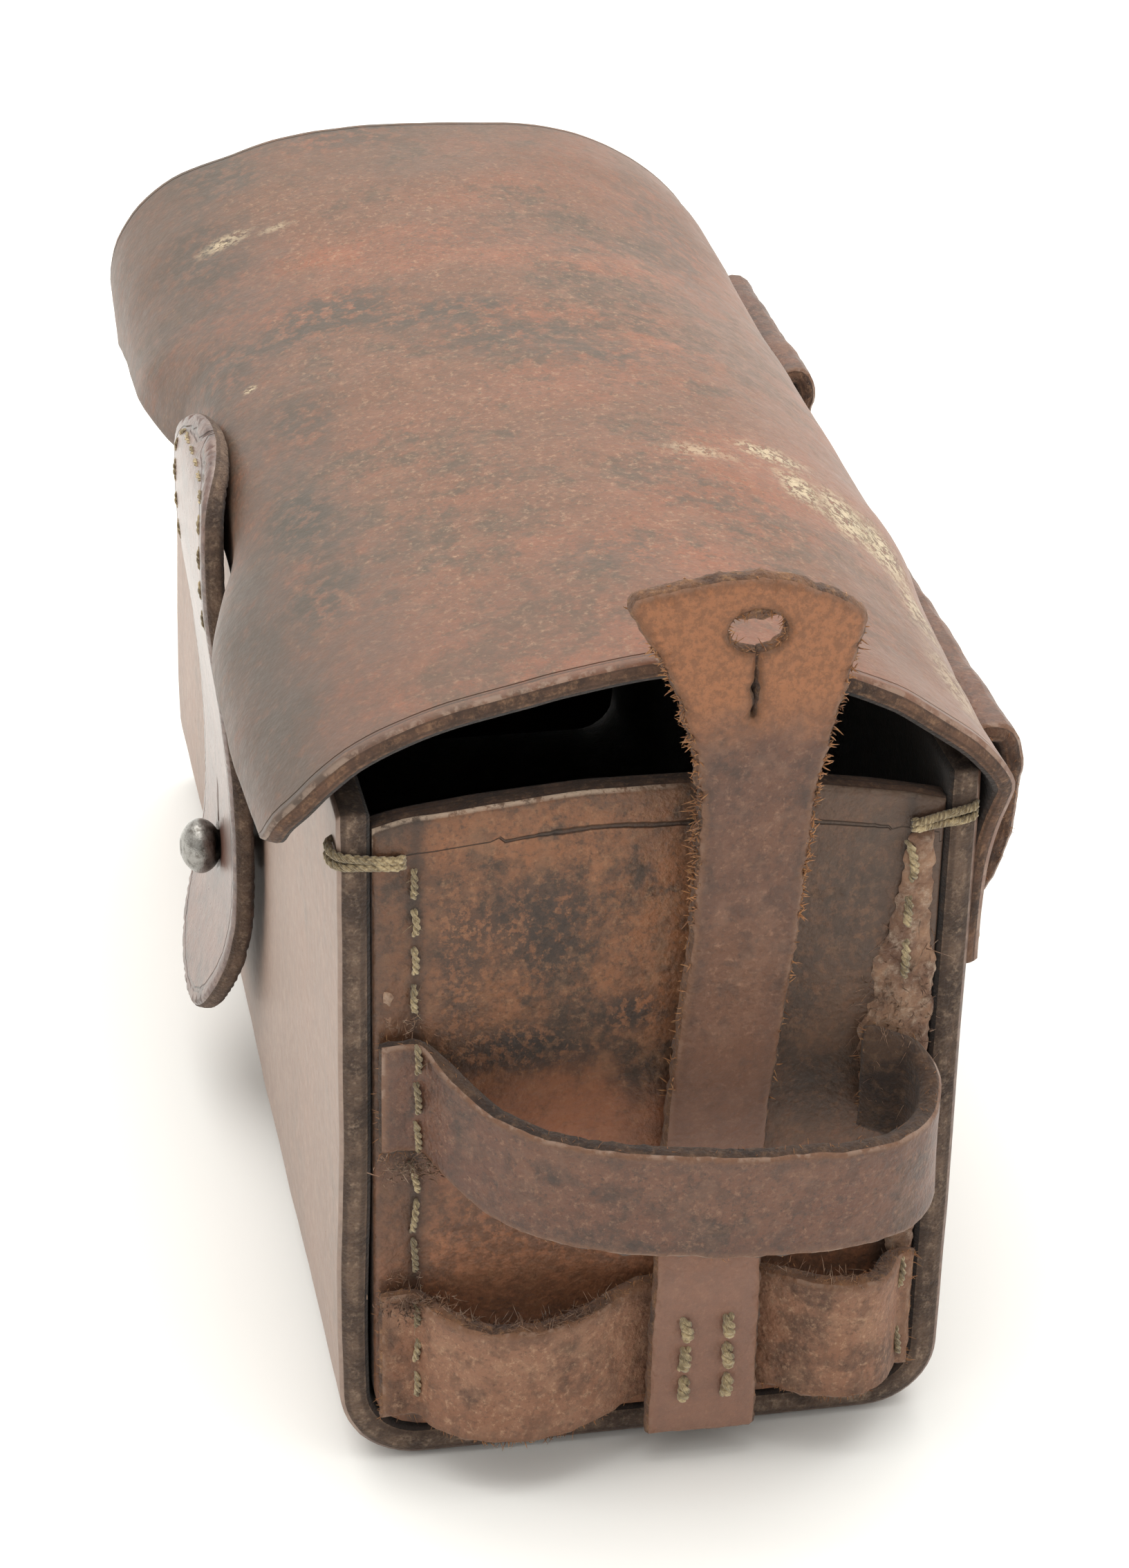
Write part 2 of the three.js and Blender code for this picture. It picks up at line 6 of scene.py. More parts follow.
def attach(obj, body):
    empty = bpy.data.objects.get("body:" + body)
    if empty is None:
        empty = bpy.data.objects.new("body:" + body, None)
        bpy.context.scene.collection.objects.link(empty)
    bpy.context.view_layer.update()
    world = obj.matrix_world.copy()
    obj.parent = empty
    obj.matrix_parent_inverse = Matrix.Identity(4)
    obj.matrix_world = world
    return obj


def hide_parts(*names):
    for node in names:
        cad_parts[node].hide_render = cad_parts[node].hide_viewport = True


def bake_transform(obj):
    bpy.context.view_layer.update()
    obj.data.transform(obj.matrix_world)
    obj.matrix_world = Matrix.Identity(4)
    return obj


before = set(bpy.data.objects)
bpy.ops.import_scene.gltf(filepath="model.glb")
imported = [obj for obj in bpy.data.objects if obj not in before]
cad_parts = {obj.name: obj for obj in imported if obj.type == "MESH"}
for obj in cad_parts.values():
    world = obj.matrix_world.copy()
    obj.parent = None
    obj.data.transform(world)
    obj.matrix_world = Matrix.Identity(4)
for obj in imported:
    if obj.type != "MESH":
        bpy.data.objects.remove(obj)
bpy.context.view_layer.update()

# Millimetres throughout, turned into metres when a mesh is made.
MM = 0.001


scene = bpy.context.scene
scene.view_settings.view_transform = "Standard"

# ---- camera -------------------------------------------------------------
cam_data = bpy.data.cameras.new("camera")
cam_data.sensor_width = 36
cam_data.lens = 5500 / 2268 * 36
cam_data.clip_start = 0.01
cam_data.clip_end = 50
cam = bpy.data.objects.new("camera", cam_data)
scene.collection.objects.link(cam)
right_ax = Vector((0.1916056832, 0.9812653273, 0.0201399979))
down_ax = Vector((0.4626858723, -0.0722108613, -0.8835764682))
fwd_ax = Vector((-0.8655686257, 0.1786167653, -0.4678536153))
m = Matrix((right_ax, -down_ax, -fwd_ax)).transposed().to_4x4()
m.translation = Vector((469.195, -89.309, 296.150)) * MM
cam.matrix_world = m
scene.camera = cam

# ---- small maths --------------------------------------------------------
def srgb(r, g, b):
    def f(c):
        c /= 255
        return c / 12.92 if c <= 0.04045 else ((c + 0.055) / 1.055) ** 2.4
    return (f(r), f(g), f(b), 1.0)


def sstep(a, b, x):
    t = np.clip((np.asarray(x, float) - a) / (b - a), 0, 1)
    return t * t * (3 - 2 * t)


def spline(pts, n, tangent_at=None):
    """Centripetal Catmull-Rom through pts at n evenly spaced parameters (by length)."""
    P = np.asarray(pts, float)
    P = np.vstack([2 * P[0] - P[1], P, 2 * P[-1] - P[-2]])
    out = []
    for i in range(1, len(P) - 2):
        p0, p1, p2, p3 = P[i - 1:i + 3]
        t1 = max(np.linalg.norm(p1 - p0) ** 0.5, 1e-6)
        t2 = t1 + max(np.linalg.norm(p2 - p1) ** 0.5, 1e-6)
        t3 = t2 + max(np.linalg.norm(p3 - p2) ** 0.5, 1e-6)
        for t in np.linspace(t1, t2, 12, endpoint=False):
            a1 = (t1 - t) / t1 * p0 + t / t1 * p1
            a2 = (t2 - t) / (t2 - t1) * p1 + (t - t1) / (t2 - t1) * p2
            a3 = (t3 - t) / (t3 - t2) * p2 + (t - t2) / (t3 - t2) * p3
            b1 = (t2 - t) / t2 * a1 + t / t2 * a2
            b2 = (t3 - t) / (t3 - t1) * a2 + (t - t1) / (t3 - t1) * a3
            out.append((t2 - t) / (t2 - t1) * b1 + (t - t1) / (t2 - t1) * b2)
    out.append(P[-2])
    out = np.array(out)
    if n is None:
        return out
    s = np.r_[0, np.cumsum(np.linalg.norm(np.diff(out[:, :3], axis=0), axis=1))]
    q = np.linspace(0, s[-1], n) if np.isscalar(n) else np.asarray(n) * s[-1]
    return np.stack([np.interp(q, s, out[:, k]) for k in range(out.shape[1])], 1)


def nz(p, scale, seed=0.0):
    """Smooth noise, about -1 to 1, at points p (mm), features of about scale mm."""
    p = np.asarray(p, float).reshape(-1, 3)
    return np.array([mnoise.noise(Vector((a / scale + seed, b / scale - 2.3 * seed, c / scale + 0.7 * seed))) for a, b, c in p])


def stations(length, step, ends=(0.35, 0.9, 1.8)):
    """Fractions 0 to 1 along a length, closer together near both ends."""
    e = [x for x in ends if x < length / 4]
    a = e[-1] if e else 0
    k = max(2, int(round((length - 2 * a) / step)))
    mid = np.linspace(a, length - a, k + 1)
    full = np.r_[0, e[:-1], mid, [length - x for x in reversed(e[:-1])], length]
    return np.unique(np.round(full / length, 7))


rng = np.random.default_rng(7)


# ---- mesh building ------------------------------------------------------
class Build:
    """Collects geometry in mm with per-vertex data for the shaders."""

    def __init__(self):
        self.v, self.f, self.m, self.uvw, self.edge, self.line, self.n = [], [], [], [], [], [], 0

    def add(self, v, faces, mats, uvw=None, edge=None, line=None, fix=True):
        v = np.asarray(v, float)
        faces = [list(f) for f in faces]
        if fix:
            vol = 0.0
            for f in faces:
                a = v[f[0]]
                for k in range(1, len(f) - 1):
                    vol += np.dot(a, np.cross(v[f[k]], v[f[k + 1]]))
            if vol < 0:
                faces = [f[::-1] for f in faces]
        b = self.n
        self.v.append(v)
        self.f += [[i + b for i in f] for f in faces]
        self.m += list(mats)
        self.uvw.append(v if uvw is None else np.asarray(uvw, float))
        self.edge.append(np.full(len(v), 9.0) if edge is None else np.asarray(edge, float))
        self.line.append(np.full(len(v), 9.0) if line is None else np.asarray(line, float))
        self.n += len(v)

    def make(self, name, mats, body=None, replaces=(), slot=None, smooth=True):
        V = np.vstack(self.v)
        me = bpy.data.meshes.new(name)
        me.from_pydata((V * MM).tolist(), [], self.f)
        me.polygons.foreach_set("material_index", np.array(self.m, np.int32))
        me.polygons.foreach_set("use_smooth", np.full(len(self.f), smooth))
        for nm, data in (("rest", V), ("uvw", np.vstack(self.uvw))):
            a = me.attributes.new(nm, "FLOAT_VECTOR", "POINT")
            a.data.foreach_set("vector", data.astype(np.float32).ravel())
        for nm, data in (("edge", np.concatenate(self.edge)), ("line", np.concatenate(self.line))):
            a = me.attributes.new(nm, "FLOAT", "POINT")
            a.data.foreach_set("value", data.astype(np.float32))
        for mt in mats:
            me.materials.append(mt)
        me.update()
        ob = bpy.data.objects.new(name, me)
        scene.collection.objects.link(ob)
        if body:
            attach(ob, body)
        if replaces:
            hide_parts(*replaces)
        return ob


def rim_rows(O, I, out, rim, bulge, rough, seed):
    rows, ts = [], []
    for k in range(1, rim + 1):
        t = k / (rim + 1)
        p = O * (1 - t) + I * t + out * (bulge * (1 - abs(2 * t - 1) ** 3))
        if rough:
            p = p + out * (rough * (nz(p, 0.9, seed) + 0.7 * nz(p, 0.45, seed + 5)))[:, None]
        rows.append(p)
        ts.append(t)
    return rows, ts


def slab(B, outer, inner, rim=4, bulge=0.3, rough=0.1, soft=0.25, seed=1.0, mats=(0, 1, 2), line=None, base=(0, 0)):
    """A closed sheet of leather between two grids, with a rounded, slightly rough cut edge."""
    outer, inner = np.array(outer, float), np.array(inner, float)
    n, m_, _ = outer.shape
    U = np.r_[0, np.cumsum(np.linalg.norm(np.diff(outer, axis=0), axis=2).mean(1))]
    W = np.r_[0, np.cumsum(np.linalg.norm(np.diff(outer, axis=1), axis=2).mean(0))]
    UU, WW = np.meshgrid(U, W, indexing="ij")
    E = np.minimum(np.minimum(UU, U[-1] - UU), np.minimum(WW, W[-1] - WW))
    per = [(0, j) for j in range(m_)] + [(i, m_ - 1) for i in range(1, n)] + [(n - 1, j) for j in range(m_ - 2, -1, -1)] + [(i, 0) for i in range(n - 2, 0, -1)]
    pi = np.array([p[0] for p in per])
    pj = np.array([p[1] for p in per])
    ni = np.clip(pi, 1, n - 2)
    nj = np.clip(pj, 1, m_ - 2)
    out = outer[pi, pj] - outer[ni, nj]
    out /= np.maximum(np.linalg.norm(out, axis=1), 1e-9)[:, None]
    d = inner[pi, pj] - outer[pi, pj]
    th = np.linalg.norm(d, axis=1)[:, None]
    dn = d / np.maximum(th, 1e-9)
    outer[pi, pj] += dn * soft
    inner[pi, pj] -= dn * soft
    O, I = outer[pi, pj], inner[pi, pj]
    rows, ts = rim_rows(O, I, out, rim, bulge, rough, seed)
    P = len(per)
    V = np.vstack([outer.reshape(-1, 3), inner.reshape(-1, 3)] + rows)
    T = lambda i, j: i * m_ + j
    Bt = lambda i, j: n * m_ + i * m_ + j
    faces, mats_ = [], []
    for i in range(n - 1):
        for j in range(m_ - 1):
            faces.append([T(i, j), T(i + 1, j), T(i + 1, j + 1), T(i, j + 1)])
            mats_.append(mats[0])
            faces.append([Bt(i, j), Bt(i, j + 1), Bt(i + 1, j + 1), Bt(i + 1, j)])
            mats_.append(mats[2])
    ring = [[T(i, j) for i, j in per]] + [list(range(2 * n * m_ + k * P, 2 * n * m_ + (k + 1) * P)) for k in range(rim)] + [[Bt(i, j) for i, j in per]]
    for a, b in zip(ring, ring[1:]):
        for k in range(P):
            q = (k + 1) % P
            faces.append([a[k], a[q], b[q], b[k]])
            mats_.append(mats[1])
    thick = float(th.mean())
    uo = np.stack([UU + base[0], WW + base[1], np.zeros_like(UU)], 2).reshape(-1, 3)
    ui = uo + [0, 0, thick]
    ur = [np.stack([UU[pi, pj] + base[0] + t * 3, WW[pi, pj] + base[1], np.full(P, t * thick)], 1) for t in ts]
    edge = np.r_[E.ravel(), E.ravel(), np.full(P * rim, -0.01)]
    L = None
    if line is not None:
        L = np.r_[np.asarray(line, float).ravel(), np.full(n * m_ + P * rim, 9.0)]
    B.add(V, faces, mats_, np.vstack([uo, ui] + ur), edge, L)
    return O, I, out


def inside(poly, pts):
    x, y = pts[:, 0], pts[:, 1]
    r = np.zeros(len(pts), bool)
    a = poly
    b = np.roll(poly, -1, axis=0)
    for (x0, y0), (x1, y1) in zip(a, b):
        c = (y0 > y) != (y1 > y)
        with np.errstate(divide="ignore", invalid="ignore"):
            r ^= c & (x < (x1 - x0) * (y - y0) / (y1 - y0 if y1 != y0 else 1e-12) + x0)
    return r


def resample(loop, step):
    P = np.vstack([loop, loop[:1]])
    s = np.r_[0, np.cumsum(np.linalg.norm(np.diff(P, axis=0), axis=1))]
    k = max(8, int(round(s[-1] / step)))
    q = np.linspace(0, s[-1], k, endpoint=False)
    return np.stack([np.interp(q, s, P[:, 0]), np.interp(q, s, P[:, 1])], 1)


def area2(p):
    q = np.roll(p, -1, axis=0)
    return 0.5 * np.sum(p[:, 0] * q[:, 1] - q[:, 0] * p[:, 1])


def plate(B, loops, fmap, thick, step=1.6, rim=4, bulge=0.3, rough=0.1, soft=0.25, ragged=0.0, rag_fn=None, seed=2.0, mats=(0, 1, 2), back=None, lines=None, hole_step=0.5):
    """A sheet with any outline and holes. fmap(points) gives the outer face and its normal."""
    L2 = []
    for k, lp in enumerate(loops):
        lp = resample(np.asarray(lp, float), step * 0.5 if k == 0 else hole_step)
        if (area2(lp) < 0) == (k == 0):
            lp = lp[::-1]
        t = np.roll(lp, -1, axis=0) - np.roll(lp, 1, axis=0)
        nn = np.stack([t[:, 1], -t[:, 0]], 1)
        nn /= np.maximum(np.linalg.norm(nn, axis=1), 1e-9)[:, None]
        if ragged:
            p3 = np.c_[lp, np.full(len(lp), 3.1 * k)]
            amt = ragged * (0.6 * nz(p3, 2.2, seed) + 0.7 * nz(p3, 0.9, seed + 3) + 0.5 * nz(p3, 5.0, seed + 9))
            if rag_fn is not None:
                amt = amt * rag_fn(lp)
            lp = lp + nn * amt[:, None]
        L2.append((lp, nn))
    allp = np.vstack([l for l, _ in L2])
    lo, hi = L2[0][0].min(0), L2[0][0].max(0)
    gx = np.arange(lo[0], hi[0], step)
    gy = np.arange(lo[1], hi[1], step * 0.866)
    pts = np.array([[x + (0.5 * step if i % 2 else 0), y] for i, y in enumerate(gy) for x in gx])
    keep = inside(L2[0][0], pts)
    for l, _ in L2[1:]:
        keep &= ~inside(l, pts)
    pts = pts[keep]
    dist = np.array([np.min(np.hypot(*(allp - p).T)) for p in pts])
    pts, dist = pts[dist > step * 0.42], dist[dist > step * 0.42]
    # a ring of points just inside each outline keeps the rounding of the edge tight
    ringp = []
    for l, nn in L2:
        r = l[::2] - nn[::2] * 0.45
        ringp.append(r)
    edges, c = [], 0
    for l, _ in L2:
        edges += [(c + i, c + (i + 1) % len(l)) for i in range(len(l))]
        c += len(l)
    cand = np.vstack([pts] + ringp)
    ok = inside(L2[0][0], cand)
    for l, _ in L2[1:]:
        ok &= ~inside(l, cand)
    cand = cand[ok]
    dd = np.array([np.min(np.hypot(*(allp - p).T)) for p in cand])
    cand, dd = cand[dd > 0.25], dd[dd > 0.25]
    P2 = np.vstack([allp, cand])
    vs, _, fs, ov, _, _ = geometry.delaunay_2d_cdt([Vector(p) for p in P2], edges, [], 0, 1e-6)
    P2 = np.array([[v[0], v[1]] for v in vs])
    first = {}
    for new, olds in enumerate(ov):
        for o in olds:
            first[o] = new
    cen = np.array([P2[list(f)].mean(0) for f in fs])
    ok = inside(L2[0][0], cen)
    for l, _ in L2[1:]:
        ok &= ~inside(l, cen)
    tris = [list(f) for f, g in zip(fs, ok) if g]
    tris = [t if area2(P2[t]) > 0 else t[::-1] for t in tris]
    N2 = len(P2)
    pos, nrm = fmap(P2)
    inn = pos - nrm * (thick if back is None else back(P2)[:, None])
    E = np.array([np.min(np.hypot(*(allp - p).T)) for p in P2])
    V = [pos, inn]
    faces = [t for t in tris] + [[i + N2 for i in t[::-1]] for t in tris]
    mm = [mats[0]] * len(tris) + [mats[2]] * len(tris)
    uv = [np.c_[P2, np.zeros(N2)], np.c_[P2, np.full(N2, thick)]]
    ed = [E, E]
    base, c = 2 * N2, 0
    for k, (l, nn) in enumerate(L2):
        idx = [first[c + i] for i in range(len(l))]
        c += len(l)
        O, I = pos[idx], inn[idx]
        q, _ = fmap(P2[idx] + nn * 0.05)
        out = q - O
        out /= np.maximum(np.linalg.norm(out, axis=1), 1e-9)[:, None]
        V[0][idx] -= nrm[idx] * soft
        V[1][idx] += nrm[idx] * soft
        O, I = V[0][idx], V[1][idx]
        rows, ts = rim_rows(O, I, out, rim, bulge, rough, seed + k)
        P = len(l)
        ring = [idx] + [list(range(base + r * P, base + (r + 1) * P)) for r in range(rim)] + [[i + N2 for i in idx]]
        for a, b in zip(ring, ring[1:]):
            for i in range(P):
                j = (i + 1) % P
                faces.append([a[j], a[i], b[i], b[j]])
                mm.append(mats[1])
        V += rows
        uv += [np.c_[P2[idx], np.full(P, t * thick)] for t in ts]
        ed += [np.full(P, -0.01)] * rim
        base += rim * P
    L = None
    if lines is not None:
        L = np.r_[lines(P2), np.full(base - N2, 9.0)]
    B.add(np.vstack(V), faces, mm, np.vstack(uv), np.concatenate(ed), L)
    return [(V[0][[first[i] for i in range(len(L2[0][0]))]], None)]


def hairs(B, pts, dirs, length, radius=0.07, mat=3, spread=0.6, seed=1):
    """Loose leather fibres: thin bent three-sided spikes."""
    r = np.random.default_rng(seed)
    V, F = [], []
    for p, d in zip(pts, dirs):
        ln = length * r.uniform(0.4, 1.3)
        d = np.asarray(d, float) + r.normal(0, spread, 3)
        d /= max(np.linalg.norm(d), 1e-6)
        bend = r.normal(0, 0.45, 3)
        a = np.cross(d, [0.3, 0.5, 0.8])
        a /= max(np.linalg.norm(a), 1e-6)
        b = np.cross(d, a)
        p = np.asarray(p, float) + r.normal(0, 0.15, 3)
        b0 = len(V)
        for k, (t, rr) in enumerate(((0, 1.0), (0.45, 0.8), (0.8, 0.5))):
            c = p + d * ln * t + bend * ln * t * t * 0.7
            for g in range(3):
                an = 2 * math.pi * g / 3 + 0.4 * k
                V.append(c + (a * math.cos(an) + b * math.sin(an)) * radius * rr)
        V.append(p + d * ln + bend * ln * 0.7)
        F.append([b0 + 2, b0 + 1, b0])
        for k in range(2):
            for g in range(3):
                h = (g + 1) % 3
                F.append([b0 + 3 * k + g, b0 + 3 * k + h, b0 + 3 * k + 3 + h, b0 + 3 * k + 3 + g])
        for g in range(3):
            F.append([b0 + 6 + g, b0 + 6 + (g + 1) % 3, b0 + 9])
    if V:
        B.add(V, F, [mat] * len(F), edge=np.zeros(len(V)), fix=False)


def tube(B, path, radius, sides=6, mat=0, ends=True):
    P = np.asarray(path, float)
    t = np.gradient(P, axis=0)
    t /= np.maximum(np.linalg.norm(t, axis=1), 1e-9)[:, None]
    up = np.array([0.31, 0.52, 0.79])
    V, F = [], []
    s = np.r_[0, np.cumsum(np.linalg.norm(np.diff(P, axis=0), axis=1))]
    uv = []
    r = np.full(len(P), radius) if np.isscalar(radius) else np.asarray(radius)
    a = np.cross(t[0], up)
    for i in range(len(P)):
        a = a - t[i] * np.dot(a, t[i])
        a /= max(np.linalg.norm(a), 1e-9)
        b = np.cross(t[i], a)
        for g in range(sides):
            an = 2 * math.pi * g / sides
            V.append(P[i] + (a * math.cos(an) + b * math.sin(an)) * r[i])
            uv.append([s[i], g, 0])
    for i in range(len(P) - 1):
        for g in range(sides):
            h = (g + 1) % sides
            F.append([i * sides + g, i * sides + h, (i + 1) * sides + h, (i + 1) * sides + g])
    F.append(list(range(sides))[::-1])
    F.append([(len(P) - 1) * sides + g for g in range(sides)])
    B.add(V, F, [mat] * len(F), uv, np.zeros(len(V)))


def stitch(B, a, b, n, high=0.75, r=0.36, seed=0, sink=0.45, ply=2, loose=0.0):
    """One stitch of two-ply linen from a to b over a surface whose normal is n."""
    a, b, n = (np.asarray(x, float) for x in (a, b, n))
    n = n / np.linalg.norm(n)
    L = np.linalg.norm(b - a)
    g = np.random.default_rng(seed)
    side = np.cross(b - a, n)
    side /= max(np.linalg.norm(side), 1e-9)
    ts = np.linspace(0, 1, 15)
    h = -sink + (high + sink) * np.clip(np.sin(math.pi * ts), 0, 1) ** 0.45
    wob = side * 1.0
    off = g.normal(0, 0.12)
    core = a + (b - a) * ts[:, None] + n * h[:, None] + wob * (off * np.sin(math.pi * ts))[:, None]
    ph0 = g.uniform(0, 6.28)
    for k in range(ply):
        ph = ph0 + 2 * math.pi * k / ply + ts * L / 1.9 * 2 * math.pi
        p = core + side * (0.56 * r * np.cos(ph))[:, None] + n * (0.56 * r * np.sin(ph))[:, None]
        tube(B, p, r * 0.62 * (0.82 + 0.18 * np.sin(math.pi * ts)), 6, 0)
    if loose:
        q = a + (b - a) * g.uniform(0.2, 0.8, 7)[:, None] + n * high * 0.8
        hairs(B, q, np.tile(n, (7, 1)), loose, 0.05, 0, 1.0, seed + 11)


# ---- materials ----------------------------------------------------------
class Tree:
    def __init__(self, name):
        self.mat = bpy.data.materials.new(name)
        self.mat.use_nodes = True
        self.t = self.mat.node_tree
        self.t.nodes.clear()

    def put(self, sock, val):
        if isinstance(val, bpy.types.NodeSocket):
            self.t.links.new(val, sock)
        else:
            sock.default_value = val

    def node(self, kind, ins=None, **props):
        n = self.t.nodes.new(kind)
        for k, v in props.items():
            setattr(n, k, v)
        for k, v in (ins or {}).items():
            self.put(n.inputs[k], v)
        return n

    def attr(self, name, out="Vector"):
        return self.node("ShaderNodeAttribute", attribute_name=name).outputs[out]

    def vec(self, v, scale=(1, 1, 1), loc=(0, 0, 0), rot=(0, 0, 0)):
        return self.node("ShaderNodeMapping", {"Vector": v, "Scale": scale, "Location": loc, "Rotation": rot}).outputs[0]

    def noise(self, v, scale, detail=4.0, rough=0.55, dist=0.0, out=0):
        return self.node("ShaderNodeTexNoise", {"Vector": v, "Scale": scale, "Detail": detail, "Roughness": rough, "Distortion": dist}).outputs[out]

    def vor(self, v, scale, feature="F1", out=0, rnd=1.0):
        return self.node("ShaderNodeTexVoronoi", {"Vector": v, "Scale": scale, "Randomness": rnd}, feature=feature).outputs[out]

    def rng(self, x, a, b, c=0.0, d=1.0, smooth=True):
        n = self.node("ShaderNodeMapRange", {"Value": x, 1: a, 2: b, 3: c, 4: d}, interpolation_type="SMOOTHSTEP" if smooth else "LINEAR")
        return n.outputs[0]

    def math(self, op, a, b=0.0, c=0.0, clamp=False):
        return self.node("ShaderNodeMath", {0: a, 1: b, 2: c}, operation=op, use_clamp=clamp).outputs[0]

    def mul(self, a, b):
        return self.math("MULTIPLY", a, b)

    def add(self, a, b):
        return self.math("ADD", a, b)

    def mix(self, f, a, b, blend="MIX"):
        n = self.node("ShaderNodeMix", data_type="RGBA", blend_type=blend)
        self.put(n.inputs[0], f)
        self.put(n.inputs[6], a)
        self.put(n.inputs[7], b)
        return n.outputs[2]

    def ramp(self, f, stops):
        n = self.node("ShaderNodeValToRGB", {0: f})
        e = n.color_ramp.elements
        while len(e) < len(stops):
            e.new(0.5)
        for el, (p, c) in zip(e, stops):
            el.position = p
            el.color = c
        return n.outputs[0]

    def xyz(self, v):
        return self.node("ShaderNodeSeparateXYZ", {0: v}).outputs

    def ball(self, p, centre, size, warp=None, soft=0.5):
        """1 at a place, fading to 0 at the ellipsoid of the given half sizes."""
        n = self.node("ShaderNodeVectorMath", {0: p, 1: centre}, operation="SUBTRACT").outputs[0]
        n = self.node("ShaderNodeVectorMath", {0: n, 1: [1 / s for s in size]}, operation="MULTIPLY").outputs[0]
        d = self.node("ShaderNodeVectorMath", {0: n}, operation="LENGTH").outputs["Value"]
        if warp is not None:
            d = self.add(d, self.math("MULTIPLY_ADD", warp, 1.4, -0.7))
        return self.rng(d, 1.0 - soft, 1.0 + soft * 0.3, 1.0, 0.0)

    def done(self, color, rough, height=None, spec=0.5, coat=0.0, coat_rough=0.3, sheen=0.0, metal=0.0, dist=1.0, strength=1.0):
        ins = {"Base Color": color, "Roughness": rough, "Specular IOR Level": spec, "Metallic": metal}
        b = self.node("ShaderNodeBsdfPrincipled", ins)
        b.inputs["Coat Weight"].default_value = coat
        b.inputs["Coat Roughness"].default_value = coat_rough
        b.inputs["Sheen Weight"].default_value = sheen
        b.inputs["Sheen Roughness"].default_value = 0.5
        if height is not None:
            bp = self.node("ShaderNodeBump", {"Strength": strength, "Distance": dist * MM, "Height": height})
            self.t.links.new(bp.outputs[0], b.inputs["Normal"])
            if coat:
                self.t.links.new(bp.outputs[0], b.inputs["Coat Normal"])
        o = self.node("ShaderNodeOutputMaterial")
        self.t.links.new(b.outputs[0], o.inputs[0])
        return self.mat


